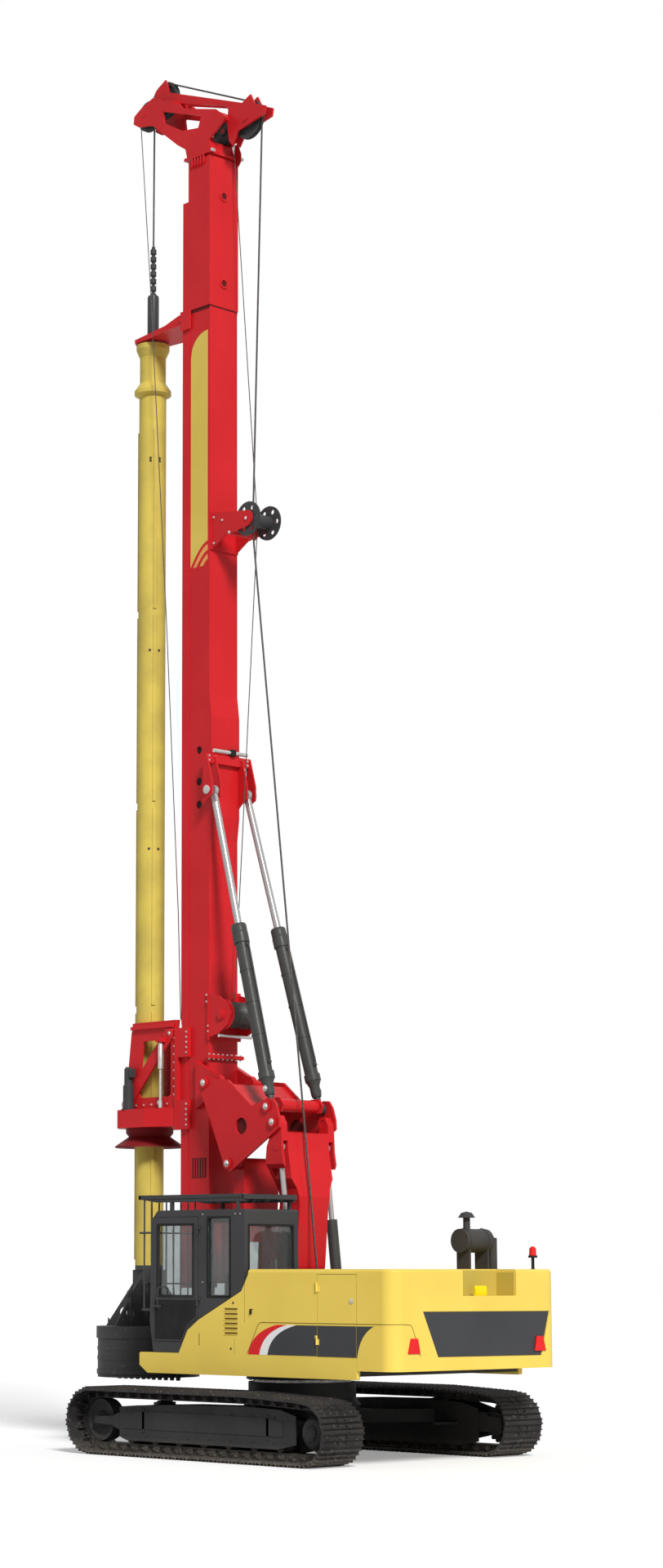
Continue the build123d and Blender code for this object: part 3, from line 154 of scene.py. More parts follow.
floor_mesh = bpy.data.meshes.new("floor")
floor_mesh.from_pydata([(x * FLOOR_HALF, y * FLOOR_HALF, 0) for x, y in ((-1, -1), (1, -1), (1, 1), (-1, 1))], [],
                       [(0, 1, 2, 3)])
floor = stand("floor", floor_mesh)
floor_paint, tree = new_material("white studio floor")
matt = feed(tree, tree.nodes["Principled BSDF"],
            {"Base Color": (0.8, 0.8, 0.8, 1), "Roughness": 0.9, "Specular IOR Level": 0.1})
camera_only = node(tree, "MixShader", {0: node(tree, "LightPath", {}, "Is Camera Ray"),
                                       1: node(tree, "Emission", {"Strength": 0.0}),
                                       2: node(tree, "Emission", {"Strength": FLOOR_GLOW})})
both_lights = node(tree, "AddShader", {0: matt.outputs[0], 1: camera_only})
feed(tree, tree.nodes["Material Output"], {"Surface": both_lights})
floor_mesh.materials.append(floor_paint)
print("floor", FLOOR_HALF * 2, "m")

# %% [markdown]
# Finishes
#
# Painted plate is never one flat colour: it fades in wide patches, gathers dust low down and has a fine orange
# peel. One function builds such a finish from noises on Object coordinates, so the pattern moves with its piece.
# Each finish of the rig is then one call with its own colours and scales.

# %% A painted or bare metal finish from noises
DUST = (0.3, 0.26, 0.21)
GLOSS = 0.14            # mirror-like share, low for paint that has weathered


def noise(tree, place, scale, detail=3.0):
    """Noise over Object coordinates: its value swings about one half, in patches of about one over the scale."""
    return node(tree, "TexNoise", {"Scale": scale, "Detail": detail, "Vector": place}, "Fac")


def spread(tree, value, low, high, to_low=0.0, to_high=1.0):
    """Straight line from one range of values to another, held at its ends."""
    return node(tree, "MapRange", {"Value": value, "From Min": low, "From Max": high, "To Min": to_low,
                                   "To Max": to_high}, "Result")


def blend_colours(tree, share, *colours):
    """First colour where the share is 0 and second where it is 1; either may be a node's output."""
    first, second = [(*colour, 1) if isinstance(colour, tuple) else colour for colour in colours]
    return node(tree, "Mix", {0: share, 6: first, 7: second}, 2, data_type="RGBA")


def finish(name, colour, faded, patch=1.1, rough=(0.34, 0.46), grain=240.0, peel=0.05, metal=0.0, coat=0.0,
           dust_to=0.0, chips=None):
    """Slow noise fades the colour, a finer one varies the gloss and a fine one gives the surface its grain.

    dust_to is the height in metres up to which soil clings, thinning with the height.
    chips is the colour that shows in small worn spots.
    """
    material, tree = new_material(name)
    place = node(tree, "TexCoord", {}, "Object")
    tint = blend_colours(tree, spread(tree, noise(tree, place, patch), 0.35, 0.65), colour, faded)
    fine = noise(tree, place, patch * 9, 5.0)
    if chips:
        tint = blend_colours(tree, spread(tree, fine, 0.62, 0.68, 0.0, 0.8), tint, chips)
    if dust_to:
        height = spread(tree, node(tree, "SeparateXYZ", {0: place}, "Z"), 0.0, dust_to, 0.55, 0.0)
        cling = node(tree, "Math", {0: height, 1: spread(tree, fine, 0.35, 0.7, 0.25)}, operation="MULTIPLY")
        tint = blend_colours(tree, cling, tint, DUST)
    bumps = node(tree, "Bump", {"Strength": peel, "Distance": 0.002, "Height": noise(tree, place, grain, 2.0)})
    feed(tree, tree.nodes["Principled BSDF"],
         {"Base Color": tint, "Roughness": spread(tree, fine, 0.3, 0.7, *rough), "Metallic": metal,
          "Specular IOR Level": GLOSS, "Coat Weight": coat, "Coat Roughness": 0.12, "Normal": bumps})
    return material


mast_paint = finish("red mast paint", (0.59, 0.016, 0.021), (0.54, 0.013, 0.017), coat=0.04)
# The drive cone is red like the mast. Its darker red is painted shade, for the hollow between its vanes and the drive's
# shadow.
cone_shade_paint = finish("red paint with painted cone shade", (0.2, 0.012, 0.014), (0.11, 0.01, 0.011), rough=(0.5, 0.7))
recess_shade_paint = finish("shaded yellow of the rear recess", (0.55, 0.42, 0.082), (0.5, 0.38, 0.075), coat=0.02)
joint_shadow = finish("shadow of a joint in red paint", (0.105, 0.01, 0.011), (0.085, 0.009, 0.01), rough=(0.6, 0.8))
house_paint = finish("yellow house paint", (0.84, 0.62, 0.112), (0.79, 0.575, 0.1), coat=0.05)
kelly_paint = finish("kelly paint with mud film", (0.64, 0.5, 0.095), (0.52, 0.4, 0.085), patch=2.2,
                     rough=(0.42, 0.6), peel=0.12)
cab_paint = finish("dark grey cab paint", (0.05, 0.05, 0.053), (0.042, 0.042, 0.044), coat=0.03)
chassis_paint = finish("dark chassis paint", (0.042, 0.041, 0.041), (0.03, 0.029, 0.029), rough=(0.5, 0.68),
                       peel=0.15, dust_to=0.25)
track_finish = finish("worn track steel", (0.052, 0.047, 0.046), (0.032, 0.03, 0.03), patch=2.5,
                      rough=(0.42, 0.62), metal=0.4, peel=0.3, dust_to=0.22, chips=(0.16, 0.15, 0.14))
barrel_paint = finish("grey cylinder paint", (0.058, 0.058, 0.055), (0.048, 0.048, 0.046), coat=0.03)
rod_chrome = finish("polished chrome", (0.4, 0.385, 0.385), (0.36, 0.345, 0.345), rough=(0.18, 0.26), metal=0.35,
                    peel=0.01)
bare_steel = finish("machined steel", (0.46, 0.45, 0.43), (0.36, 0.35, 0.33), rough=(0.3, 0.45), metal=0.85)
tool_paint = finish("dark tool steel", (0.06, 0.06, 0.06), (0.046, 0.046, 0.046), patch=1.8,
                    rough=(0.45, 0.62), metal=0.2, peel=0.2, chips=(0.1, 0.09, 0.085))
silencer_paint = finish("heat dulled grey", (0.04, 0.04, 0.04), (0.055, 0.051, 0.047), patch=3.0,
                        rough=(0.5, 0.68), peel=0.15)
engine_paint = finish("engine grey", (0.16, 0.16, 0.17), (0.12, 0.12, 0.125), patch=3.0, peel=0.3)
zinc = finish("zinc plated bolts", (0.62, 0.61, 0.58), (0.5, 0.49, 0.47), patch=12.0, metal=0.75, rough=(0.28, 0.42))
print("metal finishes made:", len(bpy.data.materials))

# %% [markdown]
# Glass, lenses, rubber and films
#
# Safety glass is tinted grey, the lamps have red plastic lenses, and seals are matt rubber. Ropes are greased steel,
# and the stripes are thin glossy films.

# %% Glass, lenses, rubber and films


def clear(name, colour, roughness, weight):
    """See-through plastic or glass: the weight is the share of light that passes and takes the colour."""
    material, tree = new_material(name)
    film = spread(tree, noise(tree, node(tree, "TexCoord", {}, "Object"), 3.0), 0.35, 0.65)
    dulled = tuple(channel * 0.9 for channel in colour)
    feed(tree, tree.nodes["Principled BSDF"],
         {"Base Color": blend_colours(tree, film, colour, dulled), "Roughness": roughness,
          "Transmission Weight": weight, "IOR": 1.45})
    return material


window_glass = clear("tinted safety glass", (0.62, 0.66, 0.66), 0.01, 0.96)
lamp_lens = clear("red lamp lens", (0.85, 0.004, 0.006), 0.3, 0.1)
rubber = finish("seal rubber", (0.012, 0.012, 0.012), (0.018, 0.018, 0.018), patch=4.0, rough=(0.6, 0.75))
rope_steel = finish("greased wire rope", (0.06, 0.058, 0.055), (0.1, 0.095, 0.09), patch=30.0,
                    rough=(0.35, 0.5), metal=0.6)
stripe_gold = finish("gold stripe film", (0.72, 0.53, 0.105), (0.66, 0.48, 0.09), coat=0.04)
stripe_amber = finish("amber stripe film", (0.8, 0.36, 0.1), (0.74, 0.32, 0.09), coat=0.04)
stripe_red = finish("red stripe film", (0.74, 0.018, 0.022), (0.68, 0.014, 0.018), coat=0.04)
stripe_white = finish("white stripe film", (0.86, 0.86, 0.85), (0.8, 0.8, 0.79), coat=0.04)
seam_shadow = finish("shadow of a pressed groove", (0.22, 0.15, 0.03), (0.19, 0.13, 0.025), rough=(0.6, 0.7))
panel_grey = finish("dark panel film", (0.05, 0.051, 0.055), (0.042, 0.043, 0.047), coat=0.04)
safety_yellow = finish("bright yellow paint", (0.85, 0.72, 0.01), (0.8, 0.66, 0.01))

# %% [markdown]
# Finishes on the frame's nodes
#
# Each solid of the frame keeps its shape and takes one of the finishes. The list reads as a painter's plan.

# %% The painter's plan
plan = {
    mast_paint: "boom support_link delta_frame mast_lower mast_upper mast_rails mast_head mast_brackets aux_winch "
                "drive_carriage rotary_gearbox kelly_guide main_winch",
    cone_shade_paint: "drive_cone",
    house_paint: "skirts house_left house_right side_door_left side_door_right hood counterweight",
    cab_paint: "cab_shell cab_door cab_guard tank_box aux_sheave_front aux_sheave_rear head_sheave_front "
               "head_sheave_rear guide_sheave drive_motors",
    chassis_paint: "car_body track_frame_left track_frame_right track_rollers idlers sprockets upper_frame",
    track_finish: "track_left track_right",
    barrel_paint: "mast_cylinder_barrel_left mast_cylinder_barrel_right lift_cylinder_barrels crowd_cylinder",
    rod_chrome: "mast_cylinder_rod_left mast_cylinder_rod_right lift_cylinder_rods crowd_rod",
    bare_steel: "slew_ring",
    tool_paint: "bucket_shell bucket_top bucket_gate kelly_inner",
    kelly_paint: "kelly_outer",
    silencer_paint: "muffler",
    engine_paint: "engine_block",
    window_glass: "cab_glass cab_door_glass",
    lamp_lens: "lamps",
    rubber: "cab_seat",
}
painted = 0
for material, names in plan.items():
    for name in names.split():
        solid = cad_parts[name]
        for slot in solid.material_slots:
            slot.material = material
        if not solid.material_slots:
            solid.data.materials.append(material)
        painted += 1
print("nodes painted:", painted, "of", len(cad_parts))

# %% [markdown]
# Shapes from profiles and paths
#
# Nearly all that is left to add is a profile that is turned or carried along a line. A few functions work out the
# points as whole arrays, and one function makes the mesh, turns its faces outwards and lets it ride on a body.

# %% Turned and carried profiles
BOTH_SIDES = (-1, 1)
HANDS = ((-1, "right"), (1, "left"))
UP, LEFT = (0, 0, 1), (0, 1, 0)
WELD = 0.00005          # points closer than this become one
SHARP = 38              # degrees between faces that meet in a sharp edge


def points(*axes):
    """Points from their coordinates along each axis, where one number stands for all."""
    return np.stack(np.broadcast_arrays(*axes), axis=-1)


def circle(count):
    """Angles spread evenly round a full turn."""
    return np.linspace(0, 2 * pi, count, endpoint=False)


def unit(vectors):
    """Vectors brought to a length of one."""
    return vectors / np.linalg.norm(vectors, axis=-1, keepdims=True)


def grid_faces(rows, columns, ring=False, first=0):
    """Four-cornered faces between the points of a grid kept row by row; a ring also joins its last column."""
    row, column = np.meshgrid(np.arange(rows - 1), np.arange(columns if ring else columns - 1), indexing="ij")
    following = (column + 1) % columns
    corners = [row * columns + column, row * columns + following, (row + 1) * columns + following,
               (row + 1) * columns + column]
    return (np.stack(corners, axis=-1).reshape(-1, 4) + first).tolist()


def lathe(profile, sides=32):
    """A profile of radius r and height h turned about Z: each point becomes (r cos a, r sin a, h)."""
    radius, height = np.array(profile, float).T[:, :, None]
    turn = circle(sides)
    rings = points(radius * np.cos(turn), radius * np.sin(turn), height)
    return rings.reshape(-1, 3), grid_faces(len(radius), sides, ring=True)


def disc(radius, low, high, sides=32):
    """A round plate or rod about Z, between two heights."""
    return lathe([(0, low), (radius, low), (radius, high), (0, high)], sides)


def hoop(inner, outer, low, high, sides=32):
    """A square-edged band about Z that sits on something round."""
    return lathe([(inner, low), (outer, low), (outer, high), (inner, high)], sides)


def slab(outline, low, high):
    """An outline in X and Z carried along Y from one place to another, with a face at each end."""
    x, z = np.array(outline, float).T
    count = len(x)
    ends = [list(range(count)), list(range(count, 2 * count))]
    return np.concatenate([points(x, y, z) for y in (low, high)]), grid_faces(2, count, ring=True) + ends


def bar(x, y, z):
    """A straight bar between two places along X, Y and Z."""
    return slab([(x[0], z[0]), (x[1], z[0]), (x[1], z[1]), (x[0], z[1])], y[0], y[1])


def tube(path, radius, sides=10):
    """A circle carried along a path: point + r (cos a across + sin a up), with both ends closed."""
    path = np.array(path, float)
    along = unit(np.gradient(path, axis=0))
    across = unit(np.cross(along, np.eye(3)[np.argmin(np.abs(along).max(axis=0))]))
    up = np.cross(across, along)
    turn = circle(sides)[:, None]
    rings = path[:, None] + radius * (np.cos(turn) * across[:, None] + np.sin(turn) * up[:, None])
    last = (len(path) - 1) * sides
    ends = [list(range(sides)), list(range(last, last + sides))]
    return rings.reshape(-1, 3), grid_faces(len(path), sides, ring=True) + ends


def thick(surface, offset):
    """A grid of points and its copy moved by an offset, joined round their rim into a closed sheet."""
    rows, columns = surface.shape[:2]
    count = rows * columns
    index = np.arange(count).reshape(rows, columns)
    rim = np.concatenate([index[0, :-1], index[:-1, -1], index[-1, :0:-1], index[:0:-1, 0]])
    following = np.roll(rim, -1)
    edge = np.stack([rim, following, following + count, rim + count], axis=-1).tolist()
    faces = grid_faces(rows, columns) + grid_faces(rows, columns, first=count) + edge
    return np.concatenate([surface.reshape(-1, 3), (surface + offset).reshape(-1, 3)]), faces


def join(shapes):
    """Several shapes as one: the points stacked, and each shape's faces moved on by the points before it."""
    starts = np.cumsum([0] + [len(places) for places, faces in shapes]).tolist()
    faces = [[corner + start for corner in face] for start, (places, some) in zip(starts, shapes) for face in some]
    return np.concatenate([places for places, some in shapes]), faces


def copies(shape, centres, direction, size=1.0):
    """The shape at each centre, its Z along a direction: centre + size (x across + y up + z direction)."""
    places, faces = shape
    centres = np.array(centres, float).reshape(-1, 3)
    ahead = unit(np.broadcast_to(np.array(direction, float), centres.shape))
    across = unit(np.cross(np.eye(3)[np.argmin(np.abs(ahead).max(axis=0))], ahead))
    axes = np.stack([across, np.cross(ahead, across), ahead], axis=1)
    every = centres[:, None] + size * np.einsum("pk,nkj->npj", places, axes)
    starts = (np.arange(len(centres)) * len(places)).tolist()
    return every.reshape(-1, 3), [[corner + start for corner in face] for start in starts for face in faces]


def outwards(shape, centres, size=1.0):
    """The shape at places on the left and at their mirror images on the right, its Z away from the middle."""
    centres = np.array(centres, float)
    return join([copies(shape, centres * (1, side, 1), (0, side, 0), size) for side in BOTH_SIDES])


def plates(outline, near, far):
    """An outline in X and Z as a plate on each side, between two distances from the middle."""
    return join([slab(outline, side * near, side * far) for side in BOTH_SIDES])


def bars(x, y, z):
    """The same bar on both sides; y holds its two distances from the middle."""
    return join([bar(x, (side * y[0], side * y[1]), z) for side in BOTH_SIDES])


def ring_of(count, radius, centre, plane):
    """Points round a circle whose plane is spanned by two axes, given by their numbers."""
    turn = circle(count)
    places = np.tile(np.array(centre, float), (count, 1))
    places[:, plane] += radius * points(np.cos(turn), np.sin(turn))
    return places


def squarer(wave, power):
    """The wave's sign with its size raised to a power below one, which turns a circle into a rounded square."""
    return np.sign(wave) * np.abs(wave) ** power


def piece(name, shape, material, body, bevel=0.0):
    """Puts one shape or a list of them into a mesh, faces outwards; it rides on its body, if one is named."""
    places, faces = join(shape) if isinstance(shape, list) else shape
    mesh = bpy.data.meshes.new(name)
    mesh.from_pydata((places + SLEW_AXIS).tolist(), [], faces)
    work = bmesh.new()
    work.from_mesh(mesh)
    bmesh.ops.remove_doubles(work, verts=work.verts, dist=WELD)
    bmesh.ops.recalc_face_normals(work, faces=work.faces)
    work.to_mesh(mesh)
    work.free()
    mesh.polygons.foreach_set("use_smooth", np.ones(len(mesh.polygons), bool))
    mesh.set_sharp_from_angle(angle=radians(SHARP))
    mesh.materials.append(material)
    thing = stand(name, mesh)
    if bevel:
        rounding = thing.modifiers.new("rounded edges", "BEVEL")
        rounding.width = bevel
        rounding.segments = 2
        rounding.limit_method = "ANGLE"
    if body:
        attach(thing, body)
    print(name, len(mesh.polygons), "faces on", body or "two bodies")
    return thing


BOLT = lathe([(0, 0), (1.35, 0), (1.35, 0.25), (1, 0.25), (1, 0.95), (0.8, 1.1), (0, 1.1)], sides=6)

# %% [markdown]
# Tracks: bolts, links and final drives
#
# The solid track has its shoes and grousers. Each shoe is held by four bolts on two rows of chain links, and the
# links show below the frame and round the wheels. A point of the track's loop comes from its distance along it:
# a straight run, half a circle round the idler, the top run, its sagging end and the sprocket's circle.

# %% Points of the track's loop, then bolts and links on it
TRACK_MIDDLE = 1.631
WHEEL_X = 1.997
IDLER_R, SPROCKET_R = 0.402, 0.378      # to the outer face of the shoe plates
GROUSER = 0.03
SAG_X = -0.9
SHOES = 50
CHAIN_DEPTH = 0.072


def track_loop(shares, inset):
    """Place and outward direction at shares of the loop's length, moved inwards by an inset."""
    top_front, top_rear = GROUSER + 2 * IDLER_R, GROUSER + 2 * SPROCKET_R
    slope = atan2(top_front - top_rear, SAG_X + WHEEL_X)
    runs = np.array([2 * WHEEL_X, pi * IDLER_R, WHEEL_X - SAG_X, hypot(SAG_X + WHEEL_X, top_front - top_rear),
                     (pi - slope) * SPROCKET_R])
    ends = np.cumsum(runs)
    distance = shares * ends[-1]
    part = np.searchsorted(ends, distance)
    rest = distance - (ends - runs)[part]
    turn = np.choose(part, [-pi / 2, rest / IDLER_R - pi / 2, pi / 2, pi / 2 + slope,
                            pi / 2 + slope + rest / SPROCKET_R])
    x = np.choose(part, [rest - WHEEL_X, WHEEL_X, WHEEL_X - rest, SAG_X - rest * cos(slope), -WHEEL_X])
    z = np.choose(part, [GROUSER, GROUSER + IDLER_R, top_front, top_front - rest * sin(slope), GROUSER + SPROCKET_R])
    reach = np.array([0, IDLER_R, 0, 0, SPROCKET_R])[part] - inset
    out = points(np.cos(turn), 0, np.sin(turn))
    return points(x, 0, z) + reach[:, None] * out, out


def on_tracks(shape, shares, inset, offset, size=1.0):
    """The shape on both tracks, its Z outwards, on two lines at an offset from the middle of the shoes."""
    places, out = track_loop(shares, inset)
    lines = [side * TRACK_MIDDLE + way * offset for side in BOTH_SIDES for way in BOTH_SIDES]
    return copies(shape, np.concatenate([places + (0, y, 0) for y in lines]), np.tile(out, (len(lines), 1)), size)


shoe_ends = np.arange(SHOES) / SHOES
shoe_middles = shoe_ends + 0.5 / SHOES
bolt_rows = (shoe_ends[:, None] + np.array([0.31, 0.67]) / SHOES).ravel()
piece("track_shoe_bolts", on_tracks(BOLT, bolt_rows, 0.003, 0.07, 0.012), track_finish, "undercarriage")
shoe_slot = bar((-0.012, 0.012), (-0.021, 0.021), (0, 0.0015))
piece("track_shoe_slots", on_tracks(shoe_slot, shoe_middles, 0.0, 0.045), rubber, "undercarriage")
turn = circle(16)
flat_link, link_faces = slab(points(0.034 * squarer(np.sin(turn), 0.6), 0.098 * np.cos(turn)), -0.006, 0.006)
links = on_tracks((flat_link[:, [1, 2, 0]], link_faces), shoe_middles, CHAIN_DEPTH, 0.112)
piece("track_links", links, track_finish, "undercarriage")
bush = lathe([(0, -0.128), (0.017, -0.128), (0.019, -0.124), (0.019, 0.124), (0.017, 0.128), (0, 0.128)], sides=12)
pin_places = track_loop(shoe_ends, CHAIN_DEPTH)[0] + (0, TRACK_MIDDLE, 0)
piece("track_pins", outwards(bush, pin_places), track_finish, "undercarriage")

# %% Guard plates over the rollers, and bolts of the final drives and the slewing ring
GUARD_TOP = [(1.545, 0.615), (1.2, 0.64), (0.3, 0.675), (-0.84, 0.69), (-1.45, 0.668), (-1.72, 0.6)]
GUARD = [(-1.72, 0.254), (-1.4, 0.19), (1.4, 0.19), (1.545, 0.235)] + GUARD_TOP
INNER_GUARD = [(-1.74, 0.18), (-1.4, 0.115), (1.4, 0.115), (1.545, 0.18)] + GUARD_TOP
GUARD_FACE = TRACK_MIDDLE + 0.163
DRIVE_HUB = (-WHEEL_X, TRACK_MIDDLE, GROUSER + SPROCKET_R)
guards = [plates(GUARD, GUARD_FACE - 0.011, GUARD_FACE + 0.001)]
guards += [bars((x, x + 0.05), (GUARD_FACE, GUARD_FACE + 0.009), (0.3, 0.6)) for x in (-1.25, 1.05)]
piece("track_guard_plates", guards, chassis_paint, "undercarriage", bevel=0.004)
piece("track_inner_guards", plates(INNER_GUARD, TRACK_MIDDLE - 0.164, TRACK_MIDDLE - 0.152), chassis_paint,
      "undercarriage", bevel=0.004)
guard_bolts = [(x, GUARD_FACE, z) for x in np.linspace(-1.35, 1.4, 8) for z in (0.27, 0.57)]
piece("track_guard_bolts", outwards(BOLT, guard_bolts, 0.012), chassis_paint, "undercarriage")
drive_bolts = [outwards(BOLT, ring_of(count, radius, DRIVE_HUB, [0, 2]) + (0, out, 0), size)
               for count, radius, out, size in ((14, 0.18, 0.129, 0.01), (8, 0.07, 0.198, 0.009))]
piece("final_drive_bolts", drive_bolts, chassis_paint, "undercarriage")
piece("slew_ring_bolts", copies(BOLT, ring_of(36, 0.685, (0, 0, 0.965), [0, 1]), (0, 0, -1), 0.015), zinc, "upper")

# %% [markdown]
# Stripes and panels of the house
#
# A red and a white stripe sweep up and back into a dark panel, framed by a pressed groove. They are thin films, so
# each is a closed sheet two millimetres proud. All their slanted edges are one curve: a quadratic from the base,
# pulled back by a control point. The films are cut where the side door shuts, so that they open with it.

# %% Films on the side of the house
HOUSE_Y = 1.5
STEPS = np.linspace(0, 1, 17)
FILM_Z = np.array([1.312, 1.59, 1.682])     # base, control and top of every slanted edge
FILM_PULL = 0.05
STRIPE_FRONT, RED_WHITE = (-0.567, -1.084), (-0.77, -1.262)        # base and top of a slanted edge along X
WHITE_DARK, PANEL_REAR = (-0.916, -1.433), (-2.481, -2.766)
SHUT_LINES = (-1.795, -2.47)
SHUT_GAP = 0.005
OPEN_END = 9.0


def side_film(front, rear, limits):
    """Closed sheet between two slanted edges, each (1-t)^2 base + 2 t (1-t) control + t^2 top, cut at limits of X."""
    weight = points((1 - STEPS) ** 2, 2 * STEPS * (1 - STEPS), STEPS ** 2)
    edges = [np.clip(weight @ np.array([base, base - FILM_PULL, top]), *limits) for base, top in (front, rear)]
    rows = [points(x, HOUSE_Y - 0.001, weight @ FILM_Z) for x in edges]
    return thick(np.stack(rows, axis=1), (0, 0.003, 0))


front_limits = (SHUT_LINES[0] + SHUT_GAP, OPEN_END)
door_limits = (SHUT_LINES[1] + SHUT_GAP, SHUT_LINES[0] - SHUT_GAP)
rear_limits = (-OPEN_END, SHUT_LINES[1] - SHUT_GAP)
for name, front, rear, limits, film, body in (
        ("side_stripe_red", STRIPE_FRONT, RED_WHITE, front_limits, stripe_red, "upper"),
        ("side_stripe_white", RED_WHITE, WHITE_DARK, front_limits, stripe_white, "upper"),
        ("side_panel_front", WHITE_DARK, PANEL_REAR, front_limits, panel_grey, "upper"),
        ("side_panel_door", WHITE_DARK, PANEL_REAR, door_limits, panel_grey, "side_door_left"),
        ("side_panel_rear", WHITE_DARK, PANEL_REAR, rear_limits, panel_grey, "upper")):
    piece(name, side_film(front, rear, limits), film, body)

# %% Groove round the panel, and the panel and recess of the counterweight
GROOVE_TOP = 1.708
REAR_FACE = -3.083
CORNER_R = 0.19
quarter = np.linspace(0, pi / 2, 8)
corner = [(REAR_FACE + CORNER_R * (1 - sin(turn)), HOUSE_Y - CORNER_R * (1 - cos(turn)), GROOVE_TOP)
          for turn in quarter]
grooves = {
    "front": [(x, HOUSE_Y, z) for x, z in ((-0.552, 1.325), (-0.742, 1.672), (-0.768, 1.698), (-0.805, GROOVE_TOP),
                                           (front_limits[0] + 0.001, GROOVE_TOP))],
    "door": [(x, HOUSE_Y, GROOVE_TOP) for x in (door_limits[1] - 0.001, door_limits[0] + 0.001)],
    "rear": [(rear_limits[1], HOUSE_Y, GROOVE_TOP)] + corner + [
        (REAR_FACE, 1.2, GROOVE_TOP - 0.008), (REAR_FACE, 1.165, GROOVE_TOP - 0.035), (REAR_FACE, 1.025, 1.325)]}
# Each groove is a thin dark tube on the surface: the groove's shadow, painted.
for name, path in grooves.items():
    piece("side_groove_shadow_" + name, tube(path, 0.0045), seam_shadow, "side_door_left" if name == "door" else "upper")

REAR_PANEL = (((0.969, 1.854), (0.719, 1.313)), ((-1.335, 1.843), (-1.174, 1.304)))      # Y and Z
rear_panel = np.array([[(REAR_FACE + 0.0125, y, z) for y, z in row] for row in REAR_PANEL])
piece("rear_panel", thick(rear_panel, (-0.003, 0, 0)), panel_grey, "upper")
RECESS_BACK = REAR_FACE + 0.326
recess_depth = (REAR_FACE + 0.035, RECESS_BACK)
# Thin sheets in a darker yellow on the recess's back and side walls: painted shade inside the recess.
recess_shade_sheets = [bar((RECESS_BACK, RECESS_BACK + 0.0035), (-0.716, 0.256), (2.042, 2.35))]
recess_shade_sheets += [bar(recess_depth, y, (2.042, 2.325)) for y in ((-0.7195, -0.716), (0.256, 0.2595))]
piece("rear_recess_shade_sheets", recess_shade_sheets, recess_shade_paint, "upper")

# %% [markdown]
# Small fittings of the house
#
# The eye reads the size of the machine from its latches, locks and slats. Narrow dark lines show where the lower
# panels shut, and the counterweight's recess holds a rounded lifting bar in a bright safety yellow.

# %% Slats, latch, seams and the lifting bar
SLAT_X = (-0.372, -0.123)
slats = [bar(SLAT_X, (HOUSE_Y - 0.03, HOUSE_Y + 0.008), (1.549 + rise, 1.556 + rise)) for rise in 0.06 * np.arange(6)]
piece("air_slats_left", slats, house_paint, "upper", bevel=0.001)
# A dark yellow sheet just behind the slats: painted shade in the slots.
shade_sheet = bar((SLAT_X[0] + 0.001, SLAT_X[1] - 0.001), (HOUSE_Y - 0.014, HOUSE_Y - 0.01), (1.545, 1.885))
piece("air_slots_shade_sheet", shade_sheet, seam_shadow, "upper")
# A black sheet just inside the house's right side: painted shade behind the openings there.
piece("right_side_painted_shade", bar((-1.51, -0.84), (0.056 - HOUSE_Y, 0.062 - HOUSE_Y), (1.54, 2.18)), rubber, "upper")
latch = [bar((-0.655, -0.59), (HOUSE_Y - 0.001, HOUSE_Y + 0.003), (1.862, 1.872)),
         bar((-0.632, -0.6), (HOUSE_Y, HOUSE_Y + 0.014), (1.805, 1.862))]
piece("house_latch", latch, rubber, "upper", bevel=0.002)
plug = lathe([(0, 0), (0.014, 0), (0.014, 0.004), (0.011, 0.006), (0, 0.006)], sides=20)
piece("key_plugs", copies(plug, [(-0.29, HOUSE_Y, 1.945), (-0.251, HOUSE_Y, 1.376)], LEFT), rubber, "upper")
seams = [bar(x, (HOUSE_Y - 0.001, HOUSE_Y + proud), z) for x, proud, z in (
    ((0.338, 0.348), 0.001, (1.407, 1.557)), ((-0.3165, -0.3135), 0.0006, (1.31, 1.5)),
    ((-0.502, -0.499), 0.0006, (1.7, 2.3)))]
piece("panel_seams", seams, rubber, "upper")
lock = lathe([(0, 0), (0.032, 0), (0.032, 0.006), (0.024, 0.01), (0, 0.01)], sides=24)
for side, hand in HANDS:
    piece("side_door_lock_" + hand, copies(lock, (-2.39, side * HOUSE_Y, 1.98), (0, side, 0)), zinc,
          "side_door_" + hand)

turn = circle(24)
lifting_bar = slab(points(0.02 * np.cos(turn) - 2.9, 0.068 * np.sin(turn) + 2.095), -0.36, -0.15)
piece("lifting_bracket", lifting_bar, safety_yellow, "upper", bevel=0.004)
stem = lathe([(0.019, 0.001), (0.024, 0.001), (0.024, 0.012), (0.02, 0.016), (0.02, 0.141), (0.019, 0.141)], sides=20)
beacon = join([stem, hoop(0.055, 0.058, 0.143, 0.172, 28)])
piece("beacon_stem", copies(beacon, (-2.83, -1.33, 2.365), UP), rubber, "upper")

# %% Silencer clamps, and the steps and filler on the right
SILENCER_X, SILENCER_Z, SILENCER_R = -2.28, 2.72, 0.15
clamp_places = np.array([(SILENCER_X, y, SILENCER_Z) for y in (-0.98, -0.64)])
clamps = [copies(hoop(SILENCER_R, SILENCER_R + 0.006, -0.02, 0.02, 40), clamp_places, LEFT),
          copies(BOLT, clamp_places + (0, 0, SILENCER_R), UP, 0.012)]
piece("silencer_clamps", clamps, silencer_paint, "upper")
treads = [bar((x, x + 0.26), (-1.42, -0.9), (z, z + 0.012)) for x, z in ((0.5, 1.822), (0.8, 1.562))]
piece("right_steps", treads, bare_steel, "upper", bevel=0.002)
cap = lathe([(0, 0), (0.075, 0), (0.075, 0.02), (0.06, 0.03), (0.06, 0.05), (0, 0.055)], sides=32)
piece("tank_filler_cap", copies(cap, (0.1, -1.15, 2.059), UP), rubber, "upper")

# %% [markdown]
# Cab: seals, guards, handles and what stands inside
#
# Each pane sits in a black rubber seal, which is a rectangle carried round the window's edge. The door has a black
# lower panel and a bow handle. Inside, the seat is two sewn cushions with two armrests: each starts as a rounded
# block and is pressed in along its sewn channels.

# %% Window seals, the door's lower panel and its handle
CAB_Y = 1.48


